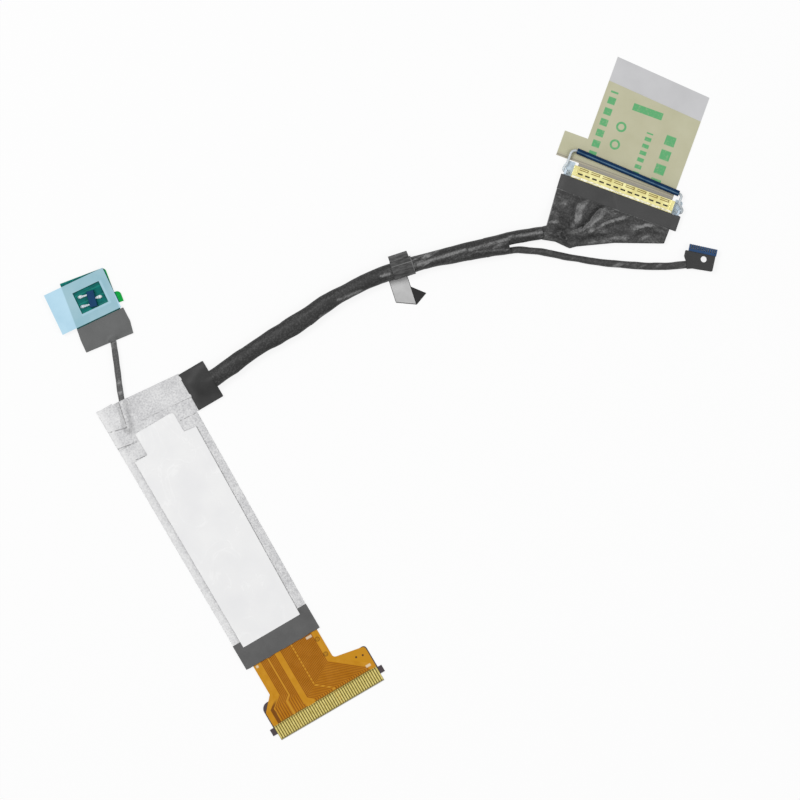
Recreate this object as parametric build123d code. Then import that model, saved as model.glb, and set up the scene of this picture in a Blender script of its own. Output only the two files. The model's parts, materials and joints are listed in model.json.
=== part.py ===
from build123d import *
import math
import os

# A display cable: a flexible circuit in a conductive cloth sleeve, a bundle of fine coaxial wires
# with a panel plug and its pull bar, a branch lead with a small plug, and a magnetic sensor lead.
# The origin is the middle of the board plug's contact end, on the surface that the cable lies on.
# +Y runs along the flexible circuit away from its contacts, +X points to the panel plug, +Z is up.

# Layers of the flat end
FILM_THICK = 0.15
CLOTH_THICK = 0.15
TAPE_THICK = 0.1
PAD_THICK = 0.1
LINER_THICK = 0.1
SLIP = 0.03             # clearance round a piece that slides into another

# Board plug
FINGER_PITCH = 0.5
FINGER_COUNT = 46
FINGER_WIDTH = 0.3
FINGER_LENGTH = 2.9
FINGER_THICK = 0.05
PLUG_MARGIN = 0.05      # film beside the outer contacts
PLUG_LENGTH = 7.4
PLUG_CORNER = 0.7
PLUG_LEFT_LENGTH = 5.9  # the film's left shoulder is cut away over the backing
SHOULDER_RISE = 1.2     # how far the plug's shoulders climb to the neck
NECK_WIDTH = 14.2
NECK_SHIFT = -1.9       # middle of the neck from the middle of the contacts
BACKING_EDGE = 0.2      # backing seen beside the film
LUG_WIDTH = 0.8
LUG_LENGTH = 1.4
SUPPORT_LENGTH = 1.3    # pale plate under the contact tips
SUPPORT_EDGE = 0.15

# Copper traces
TRACE_WIDTH = 0.13
TRACE_THICK = 0.02
TRACE_MARGIN = 0.6
FREE_TRACE_INDEX = (9, 27)  # places without a trace
WIDE_TRACE_INDEX = ((0, 3), (15, 18), (43, 45))  # first and last place of each wide ground trace
TRACE_STAGGER = 0.7     # straight stretch above the contacts that slant to the left
TRACE_STAGGER_LEFT = 3.0
TRACE_SLOPE = 0.8

# Cloth sleeve and its tapes
SLEEVE_EDGE_LEFT = 1.35  # cloth past the film's left edge
SLEEVE_EDGE_RIGHT = 0.55
SLEEVE_FLARE = 0.75     # extra width at the cable end
SLEEVE_START = 16.5
SLEEVE_END = 72.4
SLEEVE_FALL = 1.6       # how much lower the cable side of its end is
END_TAPE_START = 14.9
END_TAPE_LENGTH = 5.3
END_TAPE_EDGE = 0.1
WING_WIDTH = 6.4
WING_REACH = 2.5
WING_START = 6.0        # wing's near end, past the middle of the neck's left edge
PATCH_WIDTH = 3.4
PATCH_DEPTH = 4.6
CORNER_PATCH_LENGTH = 8.7
LINER_MARGIN = 1.6
LINER_TAB_LENGTH = 4.7
LINER_TAB_WIDTH = 8.4
LINER_TAB_INSET = 2.8
LINER_START = 19.0
LINER_SETBACK = 12.1    # sleeve's far end past the liner's
PAD_INSET = 0.3

# Joint tape over the soldered wires
JOINT_LENGTH = 5.3
JOINT_WIDTH = 7.9
JOINT_DROP = 5.75       # middle of the joint below the sleeve's far corner
JOINT_GAP = 0.6
JOINT_EDGE = 0.45       # height of the folded tape's side edges
HUMP_SIDES = 10         # flats over the hump

# Cords
CABLE_DIA = 3.0
PANEL_LEAD_DIA = 2.5
BRANCH_DIA = 1.4
SENSOR_LEAD_DIA = 1.25
CABLE_ROUTE = [(0, 0), (6.6, 0), (18.0, 1.15), (30.5, 1.5), (40.0, 0.4), (50.4, -2.2), (58.2, -4.75)]
PANEL_LEAD_ROUTE = [(0, 0), (3.2, 0), (6.5, -0.25)]
BRANCH_ROUTE = [(0, 0), (2.2, 0), (5.9, -1.85), (12.0, -4.25), (19.8, -7.05), (26.3, -9.05), (29.9, -9.85),
                (32.65, -10.12)]
SENSOR_ROUTE = [(3.8, -5.7), (5.4, -0.4), (7.75, 5.0), (9.75, 9.9), (10.6, 12.2)]
ARC_SHARE = 0.45        # share of the shorter run that a bend takes up
CORD_SIDES = 12         # a cord's section has this many flats
WIRE_SIDES = 10
NOSE_SHARE = 0.8        # narrowed end of a lead's cover, as a share of its radius
NOSE_TAPER = 38         # its slope in degrees

# Split of the bundle
WRAP_LENGTH = 4.2
PANEL_LEAD_OFFSET = 0.55
BRANCH_OFFSET = -1.5

# Tape flag on the bundle
FLAG_PLACE = 42.4       # along the bundle from the joint
FLAG_BAND = 4.2
FLAG_WIDTH = 3.7
FLAG_RIGHT = 0.4        # tail's right edge from the middle of its band
FLAG_REACH = 7.5
FLAG_SKEW = 1.6
FLAG_FOLD = 2.5
FLAG_LIP_REACH = 3.0    # tape ends stuck together beside the bundle
FLAG_LIP_RISE = 0.35    # lip above the bundle's middle
FLAG_LIP_INSET = 0.4

# Panel plug
CONTACT_PITCH = 0.5
CONTACT_COUNT = 40
CONTACT_WIDTH = 0.22
CONTACT_THICK = 0.1
CONTACT_LENGTH = 1.9
HOUSING_EDGE = 0.3
HOUSING_DEPTH = 2.3
HOUSING_HEIGHT = 0.9
MOUTH_DEPTH = 1.2
MOUTH_HEIGHT = 0.42
MOUTH_FLOOR = 0.25
SHELL_THICK = 0.12
SHELL_LIP = 0.3
SLOT_ROW_COUNT = 8
SLOT_LENGTH = 1.75
SLOT_WIDTH = 0.42
TONGUE_WIDTH = 0.18     # spring tongue left standing in each slot
TONGUE_GAP = 0.15
DASH_ROW_COUNT = 13
DASH_LENGTH = 0.95
DASH_WIDTH = 0.3
SHELL_PAD_LENGTH = 0.85  # raised rounded pad at each end of the shell
SHELL_PAD_RISE = 0.16
GROUND_WIDTH = 0.42
GROUND_TEETH = 26
GROUND_TOOTH = 0.16
TOOTH_LEAST = 0.35      # smallest tooth as a share of the largest
TOOTH_WAVE = 2.1        # how fast the teeth's sizes vary, in radians a tooth
TOOTH_FLAT = 0.8
EAR_THICK = 0.4
EAR_DEPTH = 1.2
EAR_GAP = 1.1           # shell end to ear plate
FOOT_DEPTH = 2.9        # flat foot plate beside the shell's end
FOOT_CORNER = 0.5
EDGE_TAPE_LENGTH = 24.6
EDGE_TAPE_DEPTH = 3.0
EDGE_TAPE_HEIGHT = 1.2
ENTRY_X = -12.05        # where the bundle enters the fan wrap
ENTRY_Y = -12.2
ENTRY_TURN = 28.0
FAN_INSET = 0.3         # wrap's end inside the edge tape's end
FAN_RIBS = 8
FAN_ROWS = (0, 0.3, 0.65, 1)  # places of the fold points from the mouth to the tape
FAN_FOLD = 0.22
FAN_CORNER = 0.7        # wrap's right corner inside its left one
FAN_SIDE = 2.9
FAN_BULGE = 2.4
FAN_EDGE_SHARE = 0.55   # height of the mouth's sides as a share of its middle
FAN_FALL = 0.8          # how soon the wrap comes down to the tape
FAN_FOLD_START = 0.15

# Pull bar
WIRE_DIA = 0.5
WIRE_BEND = 0.45
PIN_REACH = 0.55
PIN_CLEARANCE = 0.05
PIVOT_Y = 0.6           # pins from the plug's back edge
BAR_REACH_LEFT = 4.55
BAR_REACH_RIGHT = 3.45
ARM_STEP_LEFT = 0.3     # sideways step of each arm towards the middle
ARM_STEP_RIGHT = 1.05
ARM_STEP_START = 0.75
ARM_STEP_RUN = 1.0
BAR_SLEEVE_DIA = 1.15
BAR_SLEEVE_GAP = 0.1    # tube's end to the bend
BAR_LIFT = 0.1
BAR_BEND_LEFT = 0.9
BAR_BEND_RIGHT = 0.54

# Panel plug's adhesive flap
FLAP_WIDTH = 19.3
FLAP_REACH = 24.9
FLAP_SLANT = 1.4
FLAP_TUCK = 2.6
FLAP_LINER_REACH = 20.0
FLAP_TAB_REACH = 4.7
FLAP_TAB_WIDTH = 5.0
FLAP_GAP = 0.63

# Branch plug
BRANCH_CONTACT_PITCH = 0.42
BRANCH_CONTACT_COUNT = 12
BRANCH_CONTACT_WIDTH = 0.18
COMB_EDGE = 0.4
COMB_DEPTH = 1.35
COMB_HEIGHT = 1.2
COMB_FLOOR = 0.55
COMB_NOTCH = 0.9
BRANCH_TAPE_LENGTH = 5.9
BRANCH_TAPE_DEPTH = 3.0  # a third of it lies past the locating hole
BRANCH_TAPE_HEIGHT = 1.6
BRANCH_TAPE_SHIFT = -0.35  # middle of the tape from the middle of the comb
BRANCH_CORNER = 0.25
BRANCH_MIDDLE = -0.5    # middle of the plug from its locating hole
BRANCH_SAG = 0.2        # tape past its square corners beside the lead
BRANCH_SAG_X = -0.9
BRANCH_ENTRY_X = -3.05
BRANCH_ENTRY_Y = -1.75
BRANCH_TURN = 19.0
LOCATING_HOLE_DIA = 1.2

# Magnetic sensor
SENSOR_TURN = -74.6     # board's own turn from the lead's last run
BOARD_LENGTH = 9.2
BOARD_DEPTH = 11.7
BOARD_THICK = 0.6
BOARD_TURN = -4.8       # board a little askew under its liner
BOARD_SHIFT = -0.4
BOARD_START = 2.55
BOARD_TAB_WIDTH = 2.2
BOARD_TAB_REACH = 1.15
BOARD_TAB_DROP = 0.4    # tab's middle below the board's
BOARD_CORNER = 0.8
SENSOR_PAD_THICK = 0.3
SENSOR_LINER_LENGTH = 12.45
SENSOR_LINER_DEPTH = 8.4
SENSOR_LINER_START = 5.5
SENSOR_LINER_RIGHT = 4.25
WINDOW_LENGTH = 5.6
WINDOW_DEPTH = 4.4
WINDOW_EDGE = 1.75      # window's right side from the liner's
CHIP_LENGTH = 3.2
CHIP_WIDTH = 1.45
CHIP_HEIGHT = 0.95
CHIP_TILT = -10.0
CHIP_TAPER = 8
CHIP_SHIFT = (0.15, -0.35)  # from the window's middle
LEG_LENGTH_LEFT = 1.8
LEG_LENGTH_RIGHT = 1.25
LEG_WIDTH = 0.45
LEG_THICK = 0.15
LEG_PITCH = 1.9
SENSOR_TAPE_LENGTH = 9.8
SENSOR_TAPE_DEPTH = 5.3
SENSOR_TAPE_SHIFT = -0.7
SENSOR_TAPE_SKEW = 0.5
SENSOR_TAPE_FLARE = 0.35

# Heights of the layers
FILM_Z = TAPE_THICK + CLOTH_THICK
FILM_TOP = FILM_Z + FILM_THICK
SLEEVE_TOP = FILM_TOP + CLOTH_THICK
PAD_TOP = SLEEVE_TOP + PAD_THICK
LINER_TOP = max(PAD_TOP, SLEEVE_TOP + TAPE_THICK) + LINER_THICK

# Places along the flat end
PLUG_WIDTH = (FINGER_COUNT - 1) * FINGER_PITCH + FINGER_WIDTH + 2 * PLUG_MARGIN
NECK_LEFT = NECK_SHIFT - NECK_WIDTH / 2
NECK_RIGHT = NECK_SHIFT + NECK_WIDTH / 2
SLEEVE_LEFT = NECK_LEFT - SLEEVE_EDGE_LEFT
SLEEVE_RIGHT = NECK_RIGHT + SLEEVE_EDGE_RIGHT
LINER_END = SLEEVE_END - LINER_SETBACK
JOINT_X = SLEEVE_RIGHT + SLEEVE_FLARE + JOINT_GAP
JOINT_Y = SLEEVE_END - JOINT_DROP
CABLE_Z = CABLE_DIA / 2 + TAPE_THICK
PANEL_LEAD_Z = PANEL_LEAD_DIA / 2 + TAPE_THICK
BRANCH_Z = BRANCH_DIA / 2 + TAPE_THICK
SENSOR_LEAD_Z = SENSOR_LEAD_DIA / 2 + CLOTH_THICK

# Places in the panel plug's own frame: x along its contacts, y towards its flap
HOUSING_LENGTH = (CONTACT_COUNT - 1) * CONTACT_PITCH + CONTACT_WIDTH + 2 * HOUSING_EDGE
HOUSING_TOP = FILM_THICK + HOUSING_HEIGHT
SHELL_LENGTH = HOUSING_LENGTH + 2 * SHELL_THICK
SHELL_TOP = HOUSING_TOP + SHELL_THICK
SHELL_DEPTH = HOUSING_DEPTH + SHELL_THICK
EAR_INSIDE = SHELL_LENGTH / 2 + EAR_GAP
EAR_OUTSIDE = EAR_INSIDE + EAR_THICK
FLAP_LINER_TOP = FILM_THICK + LINER_THICK
BAR_Z = FLAP_LINER_TOP + BAR_SLEEVE_DIA / 2 + BAR_LIFT
ARM_X = EAR_OUTSIDE + PIN_CLEARANCE + WIRE_DIA / 2 + SLIP
EAR_HEIGHT = BAR_Z - FILM_THICK + WIRE_DIA
BRANCH_TOP = BRANCH_TAPE_DEPTH / 3


def plate(corners, low, high):
    """A flat piece between two heights. A corner is (x, y), or (x, y, radius) when it is rounded."""
    points = [corner[:2] for corner in corners]
    radii = [corner[2] if len(corner) > 2 else 0 for corner in corners]
    edge = FilletPolyline(*points, radius=radii, close=True)
    return Pos(0, 0, low) * extrude(make_face(edge), high - low)


def block(x_range, y_range, z_range):
    """A box given by its two ends along each axis."""
    size = [high - low for low, high in (x_range, y_range, z_range)]
    middle = [(high + low) / 2 for low, high in (x_range, y_range, z_range)]
    return Pos(*middle) * Box(*size)


def group(solids):
    """Identical pieces kept as separate solids of one node."""
    return Compound(children=[solid.solid() for solid in solids])


def bend_radii(points):
    """The largest tangent arc that the two runs at each corner leave room for."""
    vectors = [Vector(*point) for point in points]
    radii = []
    for before, corner, after in zip(vectors, vectors[1:], vectors[2:]):
        into, out = corner - before, after - corner
        half_turn = math.radians(into.get_angle(out)) / 2
        radii.append(ARC_SHARE * min(into.length, out.length) / math.tan(half_turn))
    return radii


def cord_path(points):
    """Straight runs joined by tangent arcs."""
    return FilletPolyline(*points, radius=bend_radii(points))


def swept_round(path, diameter, sides):
    """A bent rod. Its section has flats, which keeps its bends light."""
    start = Plane(origin=path @ 0, z_dir=path % 0)
    return sweep(start * RegularPolygon(diameter / 2, sides), path)


def tube(points, diameter):
    """A round cord along its route."""
    return swept_round(cord_path(points), diameter, CORD_SIDES)


def routed(frame, route, height):
    """A route's flat points, given in a frame, as points in the part's own frame."""
    return [tuple((frame * Pos(x, y, height)).position) for x, y in route]


def heading(points):
    """The direction of a route's last run, in degrees from +X."""
    before, end = points[-2:]
    return math.degrees(math.atan2(end[1] - before[1], end[0] - before[0]))


def end_frame(points, turn=0.0):
    """A frame on the surface below a route's end, with +x along its last run plus a turn."""
    return Location((points[-1][0], points[-1][1], 0), (0, 0, heading(points) + turn))


# Routes and frames, each hung from the piece before it
JOINT_FRAME = Location((JOINT_X + JOINT_LENGTH, JOINT_Y, 0))
CABLE_POINTS = routed(JOINT_FRAME, CABLE_ROUTE, CABLE_Z)
WRAP_FRAME = end_frame(CABLE_POINTS)
PANEL_LEAD_START = WRAP_FRAME * Pos(WRAP_LENGTH, PANEL_LEAD_OFFSET)
PANEL_LEAD_POINTS = routed(PANEL_LEAD_START, PANEL_LEAD_ROUTE, PANEL_LEAD_Z)
BRANCH_START = WRAP_FRAME * Pos(WRAP_LENGTH, BRANCH_OFFSET)
BRANCH_POINTS = routed(BRANCH_START, BRANCH_ROUTE, BRANCH_Z)
PANEL_FRAME = end_frame(PANEL_LEAD_POINTS, -ENTRY_TURN) * Pos(-ENTRY_X, -ENTRY_Y)
BRANCH_FRAME = end_frame(BRANCH_POINTS, -BRANCH_TURN) * Pos(-BRANCH_ENTRY_X, -BRANCH_ENTRY_Y)
SLEEVE_CORNER = Location((SLEEVE_LEFT, SLEEVE_END, 0))
SENSOR_POINTS = routed(SLEEVE_CORNER, SENSOR_ROUTE, SENSOR_LEAD_Z)
SENSOR_HEADING = heading(SENSOR_POINTS) + SENSOR_TURN
SENSOR_FRAME = Location((SENSOR_POINTS[-2][0], SENSOR_POINTS[-2][1], 0), (0, 0, SENSOR_HEADING))


def finger_x(index):
    """The middle of one contact of the board plug."""
    return (index - (FINGER_COUNT - 1) / 2) * FINGER_PITCH


def film_corners(grow=0.0):
    """The film's outline: the plug, its shoulders, the neck and the wing that takes the wires."""
    half = PLUG_WIDTH / 2 + grow
    left, right = NECK_LEFT - grow, NECK_RIGHT + grow
    shoulder = PLUG_LENGTH + SHOULDER_RISE
    wing_low, wing_high = JOINT_Y - WING_WIDTH / 2 - grow, JOINT_Y + WING_WIDTH / 2 + grow
    wing_left, wing_right = NECK_LEFT + WING_START - grow, JOINT_X + WING_REACH + grow
    strip_end = JOINT_Y - WING_WIDTH / 2 + SHOULDER_RISE + grow
    return [(-half, 0), (half, 0), (half, PLUG_LENGTH, PLUG_CORNER), (right, shoulder, PLUG_CORNER),
            (right, wing_low), (wing_right, wing_low), (wing_right, wing_high), (wing_left, wing_high),
            (wing_left, strip_end), (left, strip_end),
            (left, shoulder + grow), (-half, PLUG_LEFT_LENGTH + grow, PLUG_CORNER)]


def flex_circuit():
    return plate(film_corners(), FILM_Z, FILM_TOP)


def contact_fingers():
    half = FINGER_WIDTH / 2
    return group(block((finger_x(i) - half, finger_x(i) + half), (0, FINGER_LENGTH),
                       (FILM_TOP, FILM_TOP + FINGER_THICK)) for i in range(FINGER_COUNT))


def trace_line(index):
    """Middle line of one trace: up from its contact, inwards at a slant and on up the narrower neck."""
    step = (NECK_WIDTH - 2 * TRACE_MARGIN) / (FINGER_COUNT - 1)
    low_x, high_x = finger_x(index), NECK_LEFT + TRACE_MARGIN + index * step
    bend = FINGER_LENGTH + (TRACE_STAGGER_LEFT if high_x > low_x else TRACE_STAGGER)
    slant_end = bend + TRACE_SLOPE * abs(high_x - low_x)
    return [(low_x, FINGER_LENGTH), (low_x, bend), (high_x, slant_end), (high_x, END_TAPE_START)]


def copper_traces():
    """One trace for each contact, apart from the free places and the wide ground traces."""
    taken = [i for first, last in WIDE_TRACE_INDEX for i in range(first, last + 1)]
    single = [(i, i) for i in range(FINGER_COUNT) if i not in FREE_TRACE_INDEX and i not in taken]
    half = TRACE_WIDTH / 2
    traces = []
    for first, last in (*WIDE_TRACE_INDEX, *single):
        left = [(x - half, y) for x, y in trace_line(first)]
        right = [(x + half, y) for x, y in reversed(trace_line(last))]
        traces.append(plate(left + right, FILM_TOP, FILM_TOP + TRACE_THICK))
    return group(traces)


def plug_backing():
    """The dark plate behind the plug, with a lug at each end of the contacts."""
    half = PLUG_WIDTH / 2 + BACKING_EDGE
    top = PLUG_LENGTH + BACKING_EDGE
    lug = half + LUG_WIDTH
    lug_top = SUPPORT_LENGTH + LUG_LENGTH
    return plate([(-lug, SUPPORT_LENGTH), (lug, SUPPORT_LENGTH), (lug, lug_top), (half, lug_top),
                  (half, top, PLUG_CORNER), (-half, top, 2 * PLUG_CORNER), (-half, lug_top), (-lug, lug_top)],
                 0, FILM_Z)


def contact_support():
    half = PLUG_WIDTH / 2
    return block((-half, half), (-SUPPORT_EDGE, SUPPORT_LENGTH), (0, FILM_Z))


def sleeve_corners():
    shoulder = JOINT_Y - JOINT_WIDTH / 2
    return [(SLEEVE_LEFT, SLEEVE_START), (SLEEVE_RIGHT, SLEEVE_START),
            (SLEEVE_RIGHT + SLEEVE_FLARE, shoulder), (JOINT_X, shoulder),
            (JOINT_X, SLEEVE_END - SLEEVE_FALL), (SLEEVE_LEFT, SLEEVE_END)]


def lead_cover(near, far, radius):
    """A ridge round a straight run of the sensor lead, narrowed at its far end."""
    run = Vector(*far) - Vector(*near)
    section = Plane(origin=near, z_dir=run) * RegularPolygon(radius, CORD_SIDES)
    end = Plane(origin=far, z_dir=run) * RegularPolygon(radius, CORD_SIDES)
    nose = extrude(end, radius * NOSE_SHARE, taper=NOSE_TAPER)
    return extrude(section, run.length, dir=run.normalized()) + nose


def lead_tunnel():
    """The ridge where the sensor lead runs in under the cloth, with its narrowed inner end."""
    inner, outer = SENSOR_POINTS[:2]
    return lead_cover(outer, inner, SENSOR_LEAD_DIA / 2 + CLOTH_THICK)


def shield_sleeve():
    sleeve = plate(sleeve_corners(), TAPE_THICK, SLEEVE_TOP) + lead_tunnel()
    pocket = plate(film_corners(SLIP), FILM_Z, FILM_TOP)
    return sleeve - pocket - tube(SENSOR_POINTS, SENSOR_LEAD_DIA + 2 * SLIP)


def shield_top_patch():
    """A strip of the same cloth folded over the end of the sleeve, beside the lead's ridge."""
    left = SLEEVE_LEFT + SENSOR_ROUTE[1][0] + SENSOR_LEAD_DIA
    top = SLEEVE_END - SLEEVE_FALL
    slant = SLEEVE_FALL * (JOINT_X - left) / (JOINT_X - SLEEVE_LEFT)
    return plate([(left, top - PATCH_DEPTH + slant / 2), (JOINT_X, top - PATCH_DEPTH - slant / 2),
                  (JOINT_X, top), (left, top + slant)], SLEEVE_TOP, SLEEVE_TOP + TAPE_THICK)


def shield_corner_patch():
    """A small piece of cloth tape over the corner outside the ridge."""
    low = SLEEVE_END - CORNER_PATCH_LENGTH
    top = SLEEVE_END - TAPE_THICK
    ridge = lead_tunnel()
    patch = plate([(SLEEVE_LEFT + TAPE_THICK, low), (SLEEVE_LEFT + PATCH_WIDTH, low + SLIP),
                   (SLEEVE_LEFT + PATCH_WIDTH, top - PATCH_WIDTH), (SLEEVE_LEFT + PATCH_WIDTH, top),
                   (SLEEVE_LEFT + TAPE_THICK, top)], SLEEVE_TOP, SLEEVE_TOP + TAPE_THICK)
    return (patch - ridge).solids().sort_by(Axis.X)[0]


def end_tape():
    """Dark tape wound round the film and the near end of the sleeve."""
    left, right = SLEEVE_LEFT - END_TAPE_EDGE, SLEEVE_RIGHT + END_TAPE_EDGE
    reach = (END_TAPE_START, END_TAPE_START + END_TAPE_LENGTH)
    wound = block((left, right), reach, (0, SLEEVE_TOP + TAPE_THICK))
    sleeve = plate(sleeve_corners(), TAPE_THICK, SLEEVE_TOP)
    film = plate(film_corners(), FILM_Z, FILM_TOP)
    return wound - sleeve - film


def liner_edges():
    """Left and right edge of the white liner at its near and far end."""
    left = SLEEVE_LEFT + LINER_MARGIN
    near_right = SLEEVE_RIGHT - LINER_MARGIN - PAD_INSET
    return left, near_right, near_right + SLEEVE_FLARE + PAD_INSET


def adhesive_pad():
    left, near_right, far_right = liner_edges()
    low = END_TAPE_START + END_TAPE_LENGTH + SLIP
    high = LINER_END
    return plate([(left + PAD_INSET, low), (near_right - PAD_INSET, low),
                  (far_right - PAD_INSET, high - PAD_INSET), (left + PAD_INSET, high - PAD_INSET)],
                 SLEEVE_TOP, PAD_TOP)


def adhesive_liner():
    """White release liner with a wide pull tab at its far end."""
    left, near_right, far_right = liner_edges()
    high = LINER_END
    tab_left = left + LINER_TAB_INSET
    tab_right = tab_left + LINER_TAB_WIDTH
    return plate([(left, LINER_START), (near_right, LINER_START), (far_right, high),
                  (tab_right, high + PAD_INSET), (tab_right, high + LINER_TAB_LENGTH, PLUG_CORNER),
                  (tab_left, high + LINER_TAB_LENGTH),
                  (tab_left, high), (left, high)], LINER_TOP - LINER_THICK, LINER_TOP)


def joint_tape():
    """Black tape folded over the soldered wires, flat at the sleeve and humped at the bundle."""
    half = JOINT_WIDTH / 2
    crown = CABLE_Z + CABLE_DIA / 2

    def section(x, top, side):
        shares = [2 * i / HUMP_SIDES - 1 for i in range(HUMP_SIDES + 1)]
        rises = [(1 + math.cos(math.pi * share)) / 2 for share in shares]
        hump = [(x, half * share, side + (top - side) * rise) for share, rise in zip(shares, rises)]
        return make_face(Polyline((x, half, 0), (x, -half, 0), *hump, close=True))

    wing_top = SLEEVE_TOP + TAPE_THICK
    body = loft([section(0, wing_top + SLIP, wing_top), section(JOINT_LENGTH, crown, JOINT_EDGE)], ruled=True)
    return Pos(JOINT_X, JOINT_Y, 0) * body - plate(film_corners(SLIP), FILM_Z, FILM_TOP)


def main_cable():
    return tube(CABLE_POINTS, CABLE_DIA)


def panel_lead():
    return tube(PANEL_LEAD_POINTS, PANEL_LEAD_DIA)


def branch_cable():
    return tube(BRANCH_POINTS, BRANCH_DIA)


def sensor_lead():
    return tube(SENSOR_POINTS, SENSOR_LEAD_DIA)


def oval(half_width, half_height):
    """An ellipse made of flats."""
    turns = [2 * math.pi * i / CORD_SIDES for i in range(CORD_SIDES)]
    return Polygon(*[(half_width * math.cos(t), half_height * math.sin(t)) for t in turns])


def upright(middle):
    """A plane across the bundle."""
    return Plane(origin=middle, x_dir=(0, 1, 0), z_dir=(1, 0, 0))


def branch_wrap():
    """Tape wound round the bundle where the branch leaves it: round at one end, oval at the other."""
    low_side = BRANCH_OFFSET - BRANCH_DIA / 2 - TAPE_THICK
    high_side = PANEL_LEAD_OFFSET + PANEL_LEAD_DIA / 2 + TAPE_THICK
    near = upright((0, 0, CABLE_Z))
    far = upright((WRAP_LENGTH, (low_side + high_side) / 2, PANEL_LEAD_Z))
    sections = [near * oval(CABLE_Z + SLIP, CABLE_Z), far * oval((high_side - low_side) / 2, PANEL_LEAD_Z)]
    return WRAP_FRAME * loft(sections, ruled=True)


def flag_frame():
    """A frame on the surface below the bundle where the tape flag hangs."""
    path = cord_path(CABLE_POINTS)
    share = FLAG_PLACE / path.length
    place, run = path @ share, path % share
    return Location((place.X, place.Y, 0), (0, 0, math.degrees(math.atan2(run.Y, run.X))))


def flag_tape():
    """Black tape round the bundle: a lip where its ends meet, and a tail with one corner folded."""
    band = extrude(upright((-FLAG_BAND / 2, 0, CABLE_Z)) * oval(CABLE_Z, CABLE_Z), FLAG_BAND)
    left, right = FLAG_RIGHT - FLAG_WIDTH, FLAG_RIGHT
    tail = plate([(left, 0), (right, 0), (right, -FLAG_REACH), (left, -FLAG_REACH + FLAG_SKEW)],
                 0, TAPE_THICK)
    fold = plate([(right, -FLAG_REACH / 2), (right + FLAG_FOLD, -FLAG_REACH + FLAG_SKEW),
                  (right, -FLAG_REACH)], 0, 2 * TAPE_THICK)
    lip_low = CABLE_Z + FLAG_LIP_RISE
    lip = plate([(-FLAG_BAND / 2, 0), (FLAG_BAND / 2 - FLAG_LIP_INSET / 2, 0),
                 (FLAG_BAND / 2 - FLAG_LIP_INSET, FLAG_LIP_REACH), (-FLAG_BAND / 2, FLAG_LIP_REACH)],
                lip_low, lip_low + 2 * TAPE_THICK)
    return flag_frame() * (band + tail + fold + lip) - main_cable()


def flag_liner():
    """Grey liner left on the flag's sticky side."""
    left, right = FLAG_RIGHT - FLAG_WIDTH + TAPE_THICK, FLAG_RIGHT - TAPE_THICK
    near = -CABLE_DIA / 2 - TAPE_THICK
    return flag_frame() * plate([(left, near), (right, near), (right, -FLAG_REACH + FLAG_SKEW / 2),
                                 (left, -FLAG_REACH + FLAG_SKEW + TAPE_THICK)], TAPE_THICK, 2 * TAPE_THICK)


def contact_x(index, count, pitch):
    """The middle of one contact in a row centred on a plug."""
    return (index - (count - 1) / 2) * pitch


def panel_housing():
    """Insulator with a long mouth and a groove through its back wall for each contact."""
    half = HOUSING_LENGTH / 2
    floor = FILM_THICK + MOUTH_FLOOR
    body = block((-half, half), (0, HOUSING_DEPTH), (FILM_THICK, HOUSING_TOP))
    mouth = block((-half + HOUSING_EDGE / 2, half - HOUSING_EDGE / 2),
                  (HOUSING_DEPTH - MOUTH_DEPTH, HOUSING_DEPTH), (floor, floor + MOUTH_HEIGHT))
    return body - mouth - panel_contacts()


def panel_contacts():
    floor = FILM_THICK + MOUTH_FLOOR
    half = CONTACT_WIDTH / 2
    middles = [contact_x(i, CONTACT_COUNT, CONTACT_PITCH) for i in range(CONTACT_COUNT)]
    return group(block((x - half, x + half), (0, CONTACT_LENGTH), (floor, floor + CONTACT_THICK))
                 for x in middles)


def slot_row(count, length, width, y):
    """Cutters for a row of slots spread evenly along the shell."""
    pitch = (SHELL_LENGTH - 2 * SHELL_PAD_LENGTH) / count
    middles = [contact_x(i, count, pitch) for i in range(count)]
    return [block((x - length / 2, x + length / 2), (y - width / 2, y + width / 2),
                  (HOUSING_TOP, SHELL_TOP)) for x in middles]


def slot_tongues():
    """Spring tongues that stay joined to the shell at their left ends."""
    y = SHELL_DEPTH - SLOT_WIDTH
    tongues = slot_row(SLOT_ROW_COUNT, SLOT_LENGTH, TONGUE_WIDTH, y)
    return [Pos(-TONGUE_GAP, 0, 0) * tongue for tongue in tongues]


def shell_pad():
    """The raised rounded pad that closes the right end of the shell's slot rows."""
    half = SHELL_LENGTH / 2
    pad = block((half - SHELL_PAD_LENGTH, half), (GROUND_WIDTH + SLIP, SHELL_DEPTH),
                (SHELL_TOP, SHELL_TOP + SHELL_PAD_RISE))
    return fillet(pad.edges().group_by(Axis.Z)[-1], SHELL_PAD_RISE / 2)


def panel_shell():
    """Stamped gold cover: slotted top, end pads, folded end walls and a front lip over the mouth."""
    half = SHELL_LENGTH / 2
    lip_low = HOUSING_TOP - SHELL_LIP
    cover = block((-half, half), (0, SHELL_DEPTH), (FILM_THICK, SHELL_TOP))
    clear = (-half + SHELL_THICK, half - SHELL_THICK)
    inside = block(clear, (0, HOUSING_DEPTH), (FILM_THICK, HOUSING_TOP))
    front = block(clear, (HOUSING_DEPTH, SHELL_DEPTH), (FILM_THICK, lip_low))
    slots = slot_row(SLOT_ROW_COUNT, SLOT_LENGTH, SLOT_WIDTH, SHELL_DEPTH - SLOT_WIDTH)
    dashes = slot_row(DASH_ROW_COUNT, DASH_LENGTH, DASH_WIDTH, SHELL_DEPTH / 2 - DASH_WIDTH / 2)
    pad = shell_pad()
    return cover - inside - front - slots - dashes + slot_tongues() + pad + mirror(pad, Plane.YZ)


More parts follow.
